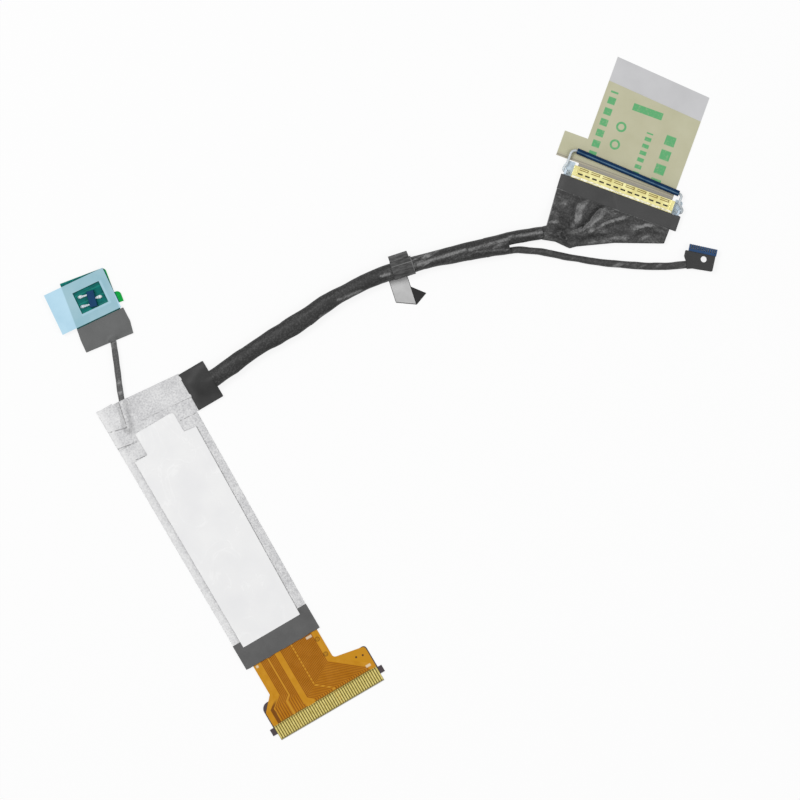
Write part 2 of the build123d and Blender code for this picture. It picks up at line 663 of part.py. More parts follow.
def ground_bar():
    """Solder bar along the shell's back edge, with an uneven toothed side towards the tape."""
    half = HOUSING_LENGTH / 2
    step = 2 * half / GROUND_TEETH
    edge = [(half, GROUND_WIDTH), (-half, GROUND_WIDTH)]
    for i in range(GROUND_TEETH):
        depth = GROUND_TOOTH * (TOOTH_LEAST + (1 - TOOTH_LEAST) * abs(math.sin(TOOTH_WAVE * i)))
        left = -half + i * step
        edge += [(left, depth), (left + step / 2, SLIP), (left + step * TOOTH_FLAT, depth)]
    edge.append((half, SLIP))
    return plate(edge, SHELL_TOP, SHELL_TOP + TAPE_THICK)


def panel_ears():
    """The two bent brackets that carry the pull bar's ends."""
    upright = block((EAR_INSIDE, EAR_OUTSIDE), (0, EAR_DEPTH), (FILM_THICK, FILM_THICK + EAR_HEIGHT))
    foot = plate([(SHELL_LENGTH / 2, 0), (EAR_OUTSIDE, 0), (EAR_OUTSIDE, FOOT_DEPTH, FOOT_CORNER),
                  (SHELL_LENGTH / 2, FOOT_DEPTH)], FILM_THICK, FILM_THICK + EAR_THICK / 2)
    bore = Cylinder(WIRE_DIA / 2 + PIN_CLEARANCE, 2 * (EAR_OUTSIDE - SHELL_LENGTH / 2))
    hole = Pos(EAR_INSIDE, PIVOT_Y, BAR_Z) * Rot(0, 90, 0) * bore
    rounded = fillet(upright.edges().filter_by(Axis.X).group_by(Axis.Z)[-1], PIVOT_Y / 2)
    ear = rounded + foot - hole
    return group([ear, mirror(ear, Plane.YZ)])


def pull_bar_points():
    """The bent wire's centre line, from one pin round the bar to the other pin."""
    pin = EAR_INSIDE - PIN_REACH + EAR_THICK / 2
    left, right = -ARM_X + ARM_STEP_LEFT, ARM_X - ARM_STEP_RIGHT
    step_low = PIVOT_Y + ARM_STEP_START
    step_high = step_low + ARM_STEP_RUN
    return [(-pin, PIVOT_Y), (-ARM_X, PIVOT_Y), (-ARM_X, step_low), (left, step_high),
            (left, PIVOT_Y + BAR_REACH_LEFT), (right, PIVOT_Y + BAR_REACH_RIGHT),
            (right, step_high), (ARM_X, step_low), (ARM_X, PIVOT_Y), (pin, PIVOT_Y)]


def pull_bar():
    """Sprung steel wire bail with its ends turned in as pins."""
    points = [(x, y, BAR_Z) for x, y in pull_bar_points()]
    foot_bends = [WIRE_BEND] * 3
    radii = [*foot_bends, BAR_BEND_LEFT, BAR_BEND_RIGHT, *foot_bends]
    return swept_round(FilletPolyline(*points, radius=radii), WIRE_DIA, WIRE_SIDES)


def pull_bar_sleeve():
    """Plastic tube on the straight of the bar."""
    corner_left, corner_right = pull_bar_points()[4:6]
    left, right = Vector(*corner_left, BAR_Z), Vector(*corner_right, BAR_Z)
    run = (right - left).normalized()
    left = left + run * (BAR_BEND_LEFT + BAR_SLEEVE_GAP)
    right = right - run * (BAR_BEND_RIGHT + BAR_SLEEVE_GAP)
    length = (right - left).length
    along = Plane(origin=(left + right) * 0.5, z_dir=run)
    return along * (Cylinder(BAR_SLEEVE_DIA / 2, length) - Cylinder(WIRE_DIA / 2 + SLIP, length))


def edge_tape():
    """Smooth black tape over the back of the plug and the wire ends."""
    half = EDGE_TAPE_LENGTH / 2
    body = block((-half, half), (-EDGE_TAPE_DEPTH, 0), (FILM_THICK, EDGE_TAPE_HEIGHT))
    return chamfer(body.edges().filter_by(Axis.X).group_by(Axis.Z)[-1], TAPE_THICK, 2 * TAPE_THICK)


def fan_wrap():
    """Crinkled black wrap that narrows from the plug to the bundle, folded along rays from the mouth."""
    top_y = -EDGE_TAPE_DEPTH
    half = EDGE_TAPE_LENGTH / 2 - FAN_INSET
    mouth_half = PANEL_LEAD_DIA / 2 + TAPE_THICK
    across = Vector(-math.sin(math.radians(ENTRY_TURN)), math.cos(math.radians(ENTRY_TURN)))
    entry = Vector(ENTRY_X, ENTRY_Y)
    rays = FAN_RIBS + 2
    step = (2 * half - FAN_CORNER) / FAN_RIBS
    far = [Vector(-half + i * step, top_y) for i in range(FAN_RIBS + 1)]
    far.append(far[-1] - Vector(0, FAN_SIDE))
    mouth = [entry + across * (mouth_half * (1 - 2 * i / (rays - 1))) for i in range(rays)]

    def fold_point(share, i):
        flat = mouth[i] + (far[i] - mouth[i]) * share
        if i == rays - 1 and share > 0:
            flat = flat - across * (FAN_BULGE * (1 - share))
        rounding = FAN_EDGE_SHARE + (1 - FAN_EDGE_SHARE) * math.sin(math.pi * i / (rays - 1))
        dome = 2 * mouth_half * rounding
        fold = FAN_FOLD * (-1) ** i * math.sin(math.pi * min(share + FAN_FOLD_START, 1))
        height = dome + (EDGE_TAPE_HEIGHT - TAPE_THICK - dome) * share ** FAN_FALL
        return Vector(flat.X, flat.Y, height + fold)

    rows = [[fold_point(share, i) for i in range(rays)] for share in FAN_ROWS]
    faces = []

    def face(*corners):
        faces.append(Face(Wire.make_polygon(corners)))

    def foot(point):
        return Vector(point.X, point.Y, 0)

    for near_row, far_row in zip(rows, rows[1:]):
        for i in range(rays - 1):
            face(near_row[i], near_row[i + 1], far_row[i + 1])
            face(near_row[i], far_row[i + 1], far_row[i])
        for i in (0, rays - 1):
            face(near_row[i], far_row[i], foot(far_row[i]), foot(near_row[i]))
    for i in range(rays - 1):
        face(rows[-1][i], rows[-1][i + 1], foot(rows[-1][i + 1]), foot(rows[-1][i]))
    face(*rows[0], foot(rows[0][-1]), foot(rows[0][0]))
    side = [foot(row[-1]) for row in rows[1:-1]]
    face(foot(rows[0][0]), foot(rows[0][-1]), *side, *[foot(point) for point in reversed(rows[-1])])
    return Solid(Shell(faces))


def flap_film():
    """Clear grey film stuck under the plug, its far edge a little out of square."""
    half = FLAP_WIDTH / 2
    return plate([(-half, -FLAP_TUCK), (half, -FLAP_TUCK), (half, FLAP_REACH - FLAP_SLANT),
                  (-half, FLAP_REACH)], 0, FILM_THICK)


def flap_liner():
    """Tan paper over the flap's adhesive, with a pull tab on its left."""
    half = FLAP_WIDTH / 2
    low = SHELL_DEPTH + FLAP_GAP
    tab_low, tab_high = low + SLIP, low + FLAP_TAB_WIDTH
    tab = -half - FLAP_TAB_REACH
    return plate([(-half, low), (half, low), (half, FLAP_LINER_REACH - FLAP_SLANT), (-half, FLAP_LINER_REACH),
                  (-half, tab_high), (tab, tab_high), (tab, tab_low), (-half, tab_low)],
                 FILM_THICK, FLAP_LINER_TOP)


def comb_x(index):
    return BRANCH_MIDDLE + contact_x(index, BRANCH_CONTACT_COUNT, BRANCH_CONTACT_PITCH)


def branch_housing():
    """Blue comb of the small plug: one open notch for each contact."""
    half = (BRANCH_CONTACT_COUNT - 1) * BRANCH_CONTACT_PITCH / 2 + COMB_EDGE
    low = BRANCH_TOP
    body = block((BRANCH_MIDDLE - half, BRANCH_MIDDLE + half), (low, low + COMB_DEPTH), (0, COMB_HEIGHT))
    notch = BRANCH_CONTACT_WIDTH / 2
    depth = (low + COMB_DEPTH - COMB_NOTCH, low + COMB_DEPTH)
    notches = [block((comb_x(i) - notch, comb_x(i) + notch), depth, (COMB_FLOOR, COMB_HEIGHT))
               for i in range(BRANCH_CONTACT_COUNT)]
    return body - notches


def branch_contacts():
    low = BRANCH_TOP + COMB_DEPTH - COMB_NOTCH
    half = BRANCH_CONTACT_WIDTH / 2
    return group(block((comb_x(i) - half, comb_x(i) + half), (low, low + COMB_NOTCH - TAPE_THICK),
                       (COMB_FLOOR, COMB_FLOOR + CONTACT_THICK)) for i in range(BRANCH_CONTACT_COUNT))


def branch_tape():
    """Black tape body of the small plug, squared to its lead at one corner, with a locating hole."""
    middle, half = BRANCH_MIDDLE + BRANCH_TAPE_SHIFT, BRANCH_TAPE_LENGTH / 2
    left, right = middle - half, middle + half
    top, low = BRANCH_TOP, BRANCH_TOP - BRANCH_TAPE_DEPTH
    mouth = BRANCH_DIA / 2 + TAPE_THICK
    across = (-math.sin(math.radians(BRANCH_TURN)), math.cos(math.radians(BRANCH_TURN)))
    high_side = (BRANCH_ENTRY_X + mouth * across[0], BRANCH_ENTRY_Y + mouth * across[1])
    low_side = (BRANCH_ENTRY_X - mouth * across[0], BRANCH_ENTRY_Y - mouth * across[1])
    body = plate([(left, top), (right, top, BRANCH_CORNER), (right, low, BRANCH_CORNER),
                  (middle + BRANCH_SAG_X, low - BRANCH_SAG), low_side, high_side, (left, -BRANCH_SAG)],
                 0, BRANCH_TAPE_HEIGHT)
    hole = Pos(0, 0, BRANCH_TAPE_HEIGHT / 2) * Cylinder(LOCATING_HOLE_DIA / 2, BRANCH_TAPE_HEIGHT)
    return body - hole


def sensor_liner_corners():
    left = SENSOR_LINER_RIGHT - SENSOR_LINER_LENGTH
    high = SENSOR_LINER_START + SENSOR_LINER_DEPTH
    return [(left, SENSOR_LINER_START), (SENSOR_LINER_RIGHT, SENSOR_LINER_START),
            (SENSOR_LINER_RIGHT, high), (left, high)]


def sensor_board_layer(low, high):
    """The board's outline with its bright tab, between two heights."""
    right, top = BOARD_LENGTH / 2, BOARD_DEPTH / 2
    tab_low = -BOARD_TAB_DROP - BOARD_TAB_WIDTH / 2
    tab_high, tab_right = tab_low + BOARD_TAB_WIDTH, right + BOARD_TAB_REACH
    outline = plate([(-right, -top), (right, -top), (right, tab_low), (tab_right, tab_low),
                     (tab_right, tab_high, BOARD_CORNER), (right, tab_high),
                     (right, top, BOARD_CORNER), (-right, top)], low, high)
    return Pos(BOARD_SHIFT, BOARD_START + top, 0) * Rot(0, 0, BOARD_TURN) * outline


def sensor_board():
    return sensor_board_layer(0, BOARD_THICK)


def window_corners():
    right = SENSOR_LINER_RIGHT - WINDOW_EDGE
    low = SENSOR_LINER_START + (SENSOR_LINER_DEPTH - WINDOW_DEPTH) / 2
    return [(right - WINDOW_LENGTH, low), (right, low), (right, low + WINDOW_DEPTH),
            (right - WINDOW_LENGTH, low + WINDOW_DEPTH)]


def sensor_pad():
    """Adhesive frame between the board and the liner, open round the chip."""
    low, high = BOARD_THICK, BOARD_THICK + SENSOR_PAD_THICK
    shared = sensor_board_layer(low, high) & plate(sensor_liner_corners(), low, high)
    return shared - plate(window_corners(), low, high)


def sensor_liner():
    """Pale film over the adhesive frame, longer than the board on its left."""
    low = BOARD_THICK + SENSOR_PAD_THICK
    film = plate(sensor_liner_corners(), low, low + LINER_THICK)
    return film - plate(window_corners(), low, low + LINER_THICK)


def chip_frame():
    middle_x = SENSOR_LINER_RIGHT - WINDOW_EDGE - WINDOW_LENGTH / 2 + CHIP_SHIFT[0]
    middle_y = SENSOR_LINER_START + SENSOR_LINER_DEPTH / 2 + CHIP_SHIFT[1]
    return Pos(middle_x, middle_y, BOARD_THICK) * Rot(0, 0, CHIP_TILT)


def sensor_chip():
    """Moulded body with sloped sides."""
    rise = CHIP_HEIGHT / 2
    lower = extrude(Rectangle(CHIP_WIDTH, CHIP_LENGTH), rise)
    upper = Pos(0, 0, rise) * extrude(Rectangle(CHIP_WIDTH, CHIP_LENGTH), rise, taper=CHIP_TAPER)
    return chip_frame() * (lower + upper)


def chip_legs():
    """Two flat legs on one side of the chip and one on the other."""
    def leg(near, far, y):
        return block((near, far), (y - LEG_WIDTH / 2, y + LEG_WIDTH / 2), (0, LEG_THICK))

    half = CHIP_WIDTH / 2
    left, right = -half - LEG_LENGTH_LEFT, half + LEG_LENGTH_RIGHT
    legs = [leg(left, -half, LEG_PITCH / 2), leg(left, -half, -LEG_PITCH / 2), leg(half, right, 0)]
    return group(chip_frame() * piece for piece in legs)


def sensor_tape():
    """Dark tape over the board's near edge, humped where the lead comes out."""
    half = SENSOR_TAPE_LENGTH / 2
    left, right = SENSOR_TAPE_SHIFT - half, SENSOR_TAPE_SHIFT + half
    outline = [(left, SENSOR_TAPE_SKEW), (right, 0), (right + SENSOR_TAPE_FLARE, SENSOR_TAPE_DEPTH),
               (left + SENSOR_TAPE_FLARE, SENSOR_TAPE_DEPTH)]
    sheet = SENSOR_FRAME * plate(outline, 0, BOARD_THICK + TAPE_THICK)
    start, end = SENSOR_POINTS[-2:]
    hump = lead_cover(start, end, SENSOR_LEAD_DIA / 2 + TAPE_THICK)
    return sheet + hump - SENSOR_FRAME * sensor_board() - tube(SENSOR_POINTS, SENSOR_LEAD_DIA + 2 * SLIP)


NODES = {
    "flex_circuit": flex_circuit(),
    "contact_fingers": contact_fingers(),
    "copper_traces": copper_traces(),
    "plug_backing": plug_backing(),
    "contact_support": contact_support(),
    "shield_sleeve": shield_sleeve(),
    "shield_top_patch": shield_top_patch(),
    "shield_corner_patch": shield_corner_patch(),
    "end_tape": end_tape(),
    "adhesive_pad": adhesive_pad(),
    "adhesive_liner": adhesive_liner(),
    "joint_tape": joint_tape(),
    "main_cable": main_cable(),
    "panel_lead": panel_lead(),
    "branch_cable": branch_cable(),
    "branch_wrap": branch_wrap(),
    "flag_tape": flag_tape(),
    "flag_liner": flag_liner(),
    "fan_wrap": PANEL_FRAME * fan_wrap(),
    "edge_tape": PANEL_FRAME * edge_tape(),
    "ground_bar": PANEL_FRAME * ground_bar(),
    "panel_shell": PANEL_FRAME * panel_shell(),
    "panel_housing": PANEL_FRAME * panel_housing(),
    "panel_contacts": PANEL_FRAME * panel_contacts(),
    "panel_ears": PANEL_FRAME * panel_ears(),
    "pull_bar": PANEL_FRAME * pull_bar(),
    "pull_bar_sleeve": PANEL_FRAME * pull_bar_sleeve(),
    "flap_film": PANEL_FRAME * flap_film(),
    "flap_liner": PANEL_FRAME * flap_liner(),
    "branch_housing": BRANCH_FRAME * branch_housing(),
    "branch_contacts": BRANCH_FRAME * branch_contacts(),
    "branch_tape": BRANCH_FRAME * branch_tape(),
    "sensor_lead": sensor_lead(),
    "sensor_board": SENSOR_FRAME * sensor_board(),
    "sensor_pad": SENSOR_FRAME * sensor_pad(),
    "sensor_liner": SENSOR_FRAME * sensor_liner(),
    "sensor_chip": SENSOR_FRAME * sensor_chip(),
    "chip_legs": SENSOR_FRAME * chip_legs(),
    "sensor_tape": sensor_tape(),
}

os.makedirs("parts", exist_ok=True)
for name, shape in NODES.items():
    export_step(shape, f"parts/{name}.step")

for name, points in (("main_cable", CABLE_POINTS), ("panel_lead", PANEL_LEAD_POINTS),
                     ("branch_cable", BRANCH_POINTS), ("sensor_lead", SENSOR_POINTS)):
    print(name, "arc radii", [round(radius, 1) for radius in bend_radii(points)])
    print(name, "length", round(cord_path(points).length, 2))
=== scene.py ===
import bpy
import json
import math
import random
from mathutils import Matrix, Vector
from mathutils.geometry import delaunay_2d_cdt


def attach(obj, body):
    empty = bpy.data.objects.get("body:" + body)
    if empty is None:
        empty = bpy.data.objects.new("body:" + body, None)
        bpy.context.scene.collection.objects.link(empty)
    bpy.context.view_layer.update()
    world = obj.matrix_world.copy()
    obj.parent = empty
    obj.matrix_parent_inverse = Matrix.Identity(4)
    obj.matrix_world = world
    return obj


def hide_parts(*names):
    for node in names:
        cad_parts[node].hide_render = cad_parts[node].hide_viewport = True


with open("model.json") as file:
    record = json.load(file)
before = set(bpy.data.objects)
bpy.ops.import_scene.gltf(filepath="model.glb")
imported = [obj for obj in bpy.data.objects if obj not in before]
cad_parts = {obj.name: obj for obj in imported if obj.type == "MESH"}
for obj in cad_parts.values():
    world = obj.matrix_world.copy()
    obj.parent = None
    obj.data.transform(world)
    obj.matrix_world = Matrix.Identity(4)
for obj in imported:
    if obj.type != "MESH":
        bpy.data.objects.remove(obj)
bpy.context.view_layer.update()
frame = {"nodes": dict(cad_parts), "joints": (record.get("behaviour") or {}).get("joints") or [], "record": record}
MM = 0.001

# Camera: straight above, turned so that the flat end leans as it does in the photograph
VIEW_TURN = 30.4  # degrees
VIEW_MIDDLE = (41.34, 44.84)
VIEW_WIDTH = 154.1
LENS = 200
SENSOR = 36
CLIP = (0.01, 10)

# Stage, in metres: the floor with its tone and glow, the backdrop's strength as a light and as seen,
# and the lamps by name, place, size and power
FLOOR_HALF = 0.6
FLOOR_Z = -0.00003
FLOOR_TONE = 0.88
FLOOR_GLOW = 0.86
BACKDROP = (0.38, 1.0)
LAMPS = (("key", (-0.15, 0.35, 0.6), 0.35, 2.4), ("fill", (0.35, -0.2, 0.55), 0.4, 1.2))

# Routes of the cords, in mm, as in the part's source. The panel plug's lead runs on into the fan wrap,
# and the sensor's lead is flattened under the sensor's tape.
CABLE_ROUTE = [(12.4, 66.65, 1.6), (19.0, 66.65, 1.6), (30.4, 67.8, 1.6), (42.9, 68.15, 1.6),
               (52.4, 67.05, 1.6), (62.8, 64.45, 1.6), (70.6, 61.9, 1.6)]
CABLE_DIA = 3.0
PANEL_LEAD_ROUTE = [(74.76, 61.12, 1.35), (77.8, 60.12, 1.35), (81.28, 58.69, 1.35)]
BRANCH_ROUTE = [(74.13, 59.17, 0.8), (76.22, 58.49, 0.8), (79.16, 55.58, 0.8), (84.21, 51.40, 0.8),
                (90.76, 46.32, 0.8), (96.31, 42.40, 0.8), (99.49, 40.52, 0.8), (102.02, 39.41, 0.8)]
SENSOR_ROUTE = [(-6.55, 66.7, 0.775), (-4.95, 72.0, 0.775), (-2.6, 77.4, 0.775), (-0.6, 82.3, 0.775),
                (0.25, 84.6, 0.775)]
SENSOR_LINE = [*SENSOR_ROUTE[:3], (-0.75, 81.9, 0.7), (-0.25, 83.3, 0.36)]
SENSOR_DIA = 1.25

# Right edge, left edge and height of each cord, in mm: (distance along it, value)
BUNDLE_EDGES = (
    [(0, -1.75), (4, -1.55), (8, -1.22), (11, -1.25), (15, -1.8), (19.5, -2.12), (24, -1.77), (29, -1.42),
     (34, -1.37), (40, -1.5), (48, -1.47), (53, -1.85), (59, -2.05)],
    [(0, 1.6), (6, 2.03), (12, 1.93), (18, 1.7), (22, 1.58), (26, 1.78), (30, 1.58), (38, 1.7), (49, 1.5),
     (59, 1.65)],
    [(0, 2.2), (14, 2.2), (33, 2.5), (59, 2.7)])
BRANCH_EDGES = (
    [(0, -0.9), (3, -0.95), (6.5, -0.62), (12, -0.74), (18, -0.93), (24, -0.85), (30, -0.72), (34, -0.68)],
    [(0, 0.4), (3, 0.4), (7, 0.78), (13, 0.52), (18, 0.46), (25, 0.6), (32, 0.78), (34, 0.78)],
    [(0, 1.4)])
SHORT_EDGES = ([(0, -1.25)], [(0, 1.25)], [(0, 2.4)])

# Traces of the board plug, in mm: contact and neck pitch, where each side's slants start, and the places
# in the row of ground areas, of the row of dots and of the free place
FINGER_COUNT = 46
FINGER_START = 11.25
FINGER_PITCH = 0.5
FINGER_LENGTH = 3.05
NECK_START = 8.4
NECK_PITCH = 13 / 45
LEFT_BEND_Y = 5.9
RIGHT_BEND_Y = 3.6
TRACE_SLOPE = 0.8
MIRROR_X = -4.5
WIDE_TRACES = ((0, 3), (15, 18), (43, 45))
INNER_TRACE = (1.7, 3.8)
FREE_PLACE = (8.65, 9.35)
DOT_PLACE = (26.5, 27.5)

# Marks on the board plug's film, in mm: hatched rounds, pale patches, holes as (x, y, radius), and a
# dark blotch
HATCHED_ROUNDS = ((4.3, 13.2), (4.25, 9.9))
HATCHED_RADII = (0.5, 0.3)
PALE_PATCHES = (((2.5, 3.7), (14.1, 14.6)), ((9.7, 10.7), (3.6, 4.1)), ((-8.6, -8.1), (14.2, 14.7)))
VIAS = ((9.0, 6.4, 0.2), (10.3, 6.1, 0.2), (-3.8, 4.6, 0.24))
BLOTCH = (-10.1, 5.0, 0.5)

# The cloth, in mm: its weave, its paler side, and its seams and worn edges with their half widths; the last line
# is a painted shadow beside the white liner's right edge
WEAVE_PITCH = 0.16
PALE_SIDE = (-9.9, -8.6)
SEAMS_AND_SHADOW_LINE = [((-6.63, 66.84), (-10.2, 67.76), 0.1), ((-10.3, 64.13), (-6.4, 63.52), 0.1),
               ((2.75, 62.83), (6.46, 62.51), 0.08), ((-5.57, 71.8), (-6.63, 66.84), 0.09),
               ((-8.42, 60.63), (-6.35, 60.35), 0.08), ((3.98, 20.3), (5.0, 60.3), 0.05)]

# Lines of painted highlight along the bundle's tape, in mm, each with its half width
HIGHLIGHT_LINES = [((35.87, 66.48), (38.23, 66.32), 0.12), ((40.52, 67.44), (45.86, 66.76), 0.25),
                ((49.98, 67.18), (52.16, 66.72), 0.3), ((57.24, 65.6), (66.98, 63.35), 0.32),
                ((67.19, 63.02), (75.37, 60.89), 0.32), ((68.23, 62.01), (73.98, 59.24), 0.12),
                ((75.15, 61.24), (81.78, 58.57), 0.3)]

# Pale lines along edges of the tape flag, in the flag's own mm
FLAG_EDGES = (((-2.0, 0.75), (1.95, 0.7)), ((2.02, -1.2), (2.02, 1.3)))

# Sensor, in its own mm: the board under its liner, the liner's window as (left, right, near, far), the
# chip, and its legs as (side, place across, length)
BOARD_MIDDLE_Y = 8.4
BOARD_LEAN = 0.084
BOARD_SIDES = (-4.98, 4.18)
BOARD_TOP = 0.6
BOARD_LINE_PITCH = 1.7
TAB_X = (4.3, 4.5)
WINDOW = (-3.1, 2.5, 7.5, 11.9)
CHIP_MIDDLE = (-0.15, 9.35)
CHIP_TILT = -10.0
CHIP_HALF = 0.725
LEGS = ((-1, 0.95, 1.8), (-1, -0.95, 1.8), (1, 0.0, 1.25))

# Panel plug, in its own mm: corners of the pull bar's middle line and the bend at each inner one, the
# bar's size and height, the painted highlight along its tube, and the row of long slots in the shell
PIVOT_Y = 0.6
BAR_LINE = [(-11.03, 0.6), (-12.11, 0.6), (-12.11, 1.35), (-11.81, 2.35), (-11.81, 5.15), (11.06, 4.05),
            (11.06, 2.35), (12.11, 1.35), (12.11, 0.6), (11.03, 0.6)]
BAR_BENDS = [0.45, 0.45, 0.45, 0.9, 0.54, 0.45, 0.45, 0.45]
BAR_DIA = 0.5
BAR_Z = 0.925
TUBE_HIGHLIGHT = ((-10.8, 5.0), (10.4, 3.98))
# Heights over which painted shade on the shell below its top face fades out
SHELL_SHADE_HEIGHTS = (1.0, 1.12)
SLOT_Y = 2.0
SLOT_HALF = 0.3
SLOT_PITCH = 2.3575
SLOT_ROW = 8 * SLOT_PITCH
FLAP_UNDER = (3.0, 3.2)  # where the film under the plug passes into the part that is seen

# Plain green marks on the tan liner, in the plug's mm: columns of dashes as (left, right), (near, far),
# pitch and share of it, then a bar, and rings with their radii
TAN_DASHES = (((-8.6, -7.1), (5.2, 18.4), 2.2, 0.62), ((0.6, 1.9), (4.6, 13.2), 1.4, 0.55),
              ((4.4, 6.4), (4.0, 14.6), 2.9, 0.66))
TAN_BAR = ((-3.6, 2.4), (16.2, 17.6))
TAN_RINGS = ((-4.4, 12.4), (-4.4, 8.8))
RING_RADII = (1.0, 0.6)
TAN_SHADE = (3.2, 4.2)
# Painted shadow line along the tan liner's near edge, as (near, far)
TAN_EDGE_SHADOW = (3.36, 3.46)
TAN_FOLD = (4.6, 4.9)

# Tape flag in its own mm: outlines of its tail, turned corner, folded lip and liner
FLAG_TAIL = [(-3.3, -1.2), (0.4, -1.2), (0.4, -7.5), (-3.3, -5.9)]
FLAG_CORNER = [(0.35, -3.8), (2.85, -5.95), (0.4, -7.5)]
FLAG_LIP = [(-2.05, 0.9), (1.85, 0.9), (1.7, 2.95), (-2.05, 2.95)]
FLAG_BACKING = [(-3.2, -1.6), (0.3, -1.6), (0.3, -7.3), (-3.2, -5.8)]

# Outlines of the fan wrap, the branch plug's body with its hole, and the sensor's tape, each in its
# own frame in mm, with a third value where a corner is rounded
FAN_OUTLINE = [(-12.0, -2.9), (-12.0, -3.3), (-11.45, -10.4), (-12.5, -11.1), (-11.4, -13.25), (-8.8, -12.75),
               (-5.75, -13.0, 0.4), (-4.6, -12.2), (2.0, -9.05), (11.0, -5.9, 0.2), (11.05, -2.9)]
BRANCH_OUTLINE = [(-3.8, 1.0), (2.1, 1.0, 0.2), (2.1, -2.0, 0.25), (-1.75, -2.2), (-2.79, -2.51),
                  (-3.31, -0.99), (-3.8, -0.2)]
HOLE_RADIUS = 0.6
SENSOR_TAPE = [(-5.6, 0.5), (4.2, 0.0), (4.65, 2.4), (4.55, 5.3), (-5.3, 5.3), (-5.55, 3.0)]

# Folds of the fan wrap, in the panel plug's mm: points along each, its height and half width, and the
# direction that their lit sides face
FAN_FOLDS = [
    ([(-6.3, -9.4), (-4.9, -8.5), (-3.9, -6.7), (-3.6, -5.1), (-2.8, -3.5), (-1.4, -2.2)], -0.75, 0.42),
    ([(-5.9, -10.6), (-5.0, -9.0), (-3.0, -8.1), (-2.2, -6.2), (-1.2, -4.4)], 0.4, 0.75),
    ([(-5.4, -10.8), (-2.9, -8.8), (-0.6, -6.2), (1.1, -4.9), (3.5, -3.4)], 0.42, 0.45),
    ([(-5.2, -12.2), (-4.2, -10.4), (-2.0, -8.6), (0.6, -7.4)], 0.35, 0.5),
    ([(-5.6, -11.6), (-2.5, -9.9), (1.8, -7.6), (5.0, -6.7)], -0.25, 0.7),
    ([(5.2, -6.8), (5.0, -5.5), (6.9, -3.9), (9.0, -3.5)], 0.3, 0.45),
    ([(5.9, -6.4), (7.4, -5.2), (9.6, -4.8)], -0.2, 0.5),
    ([(-11.4, -6.8), (-8.7, -7.8), (-6.4, -8.6)], -0.35, 0.45),
    ([(-7.0, -9.3), (-6.8, -7.2), (-7.4, -5.0), (-7.2, -3.3)], -0.3, 0.55),
    ([(-6.0, -8.8), (-5.4, -6.6), (-5.6, -4.6), (-5.2, -3.0)], 0.3, 0.6),
    ([(-11.1, -9.7), (-9.2, -9.4), (-7.0, -9.6)], 0.28, 0.3),
    ([(-10.4, -11.8), (-8.5, -11.5), (-6.6, -12.3)], 0.35, 0.3),
    ([(-9.6, -10.7), (-8.2, -10.4), (-6.8, -11.6)], -0.45, 0.38),
]
LIT_SIDE = (0.1, 0.9, 0.42)

# Sheets: angles, in degrees, over which edges are sharp or bevelled, and how far inner points keep off
# the edges and stray from their rows, as shares of their spacing
SHARP_ANGLE = 35.0
BEVEL_ANGLE = 55.0
EDGE_CLEAR = 0.4
SCATTER = 0.12

# Layers of the flat end, in mm
SLEEVE_TOP = 0.55
TAPE = 0.1
LEAD_TOP = 1.55
JOINT_Y = 66.65
JOINT_HALF = 3.95


def turned_frame(x, y, turn):
    """A frame on the surface: place in mm and turn about +Z in degrees."""
    return Matrix.Translation((x, y, 0)) @ Matrix.Rotation(math.radians(turn), 4, "Z")


def record_mount(name):
    return next(mount for mount in frame["record"]["mounts"] if mount["name"] == name)


# Local frames, in mm: +x along the plug's contacts, +y the way it slides in
HINGE = frame["joints"][0]
PANEL_TURN = math.degrees(math.atan2(HINGE["axis"][1], HINGE["axis"][0]))
_pivot = Vector((HINGE["pos_m"][0] / MM, HINGE["pos_m"][1] / MM, 0))
_panel_place = _pivot - Matrix.Rotation(math.radians(PANEL_TURN), 3, "Z") @ Vector((0, PIVOT_Y, 0))
PANEL = turned_frame(_panel_place.x, _panel_place.y, PANEL_TURN)
_hole = record_mount("locating_hole")["pos_m"]
_slide = record_mount("branch_plug")["axis"]
BRANCH_TURN = math.degrees(math.atan2(_slide[1], _slide[0])) - 90
BRANCH = turned_frame(_hole[0] / MM, _hole[1] / MM, BRANCH_TURN)
SENSOR_FRAME = turned_frame(SENSOR_ROUTE[3][0], SENSOR_ROUTE[3][1], -4.88)
FLAG = turned_frame(54.63, 66.46, -12.31)
WRAP = turned_frame(70.6, 61.9, -18.1)
FLAT = Matrix.Identity(4)


# Shader building

def srgb(*tone, share=1.0):
    """A tone as seen on screen, 0 to 255, as linear light, and a share of that."""
    def linear(value):
        part = value / 255
        return part / 12.92 if part <= 0.04045 else ((part + 0.055) / 1.055) ** 2.4
    return tuple(share * linear(value) for value in tone) + (1.0,)


def grey(level):
    return (level, level, level)


def add_node(tree, kind, inputs=(), **settings):
    """A node with its settings, and with inputs by place or by name from fields or plain values."""
    made = tree.nodes.new("ShaderNode" + kind)
    for key, value in settings.items():
        setattr(made, key, value)
    for key, value in inputs.items() if isinstance(inputs, dict) else enumerate(inputs):
        if isinstance(value, Field):
            tree.links.new(value.socket, made.inputs[key])
        else:
            made.inputs[key].default_value = value
    return made


def operation(name):
    """A method that makes a math node from a field and any further values."""
    return lambda self, *others: self.math(name, self, *others)


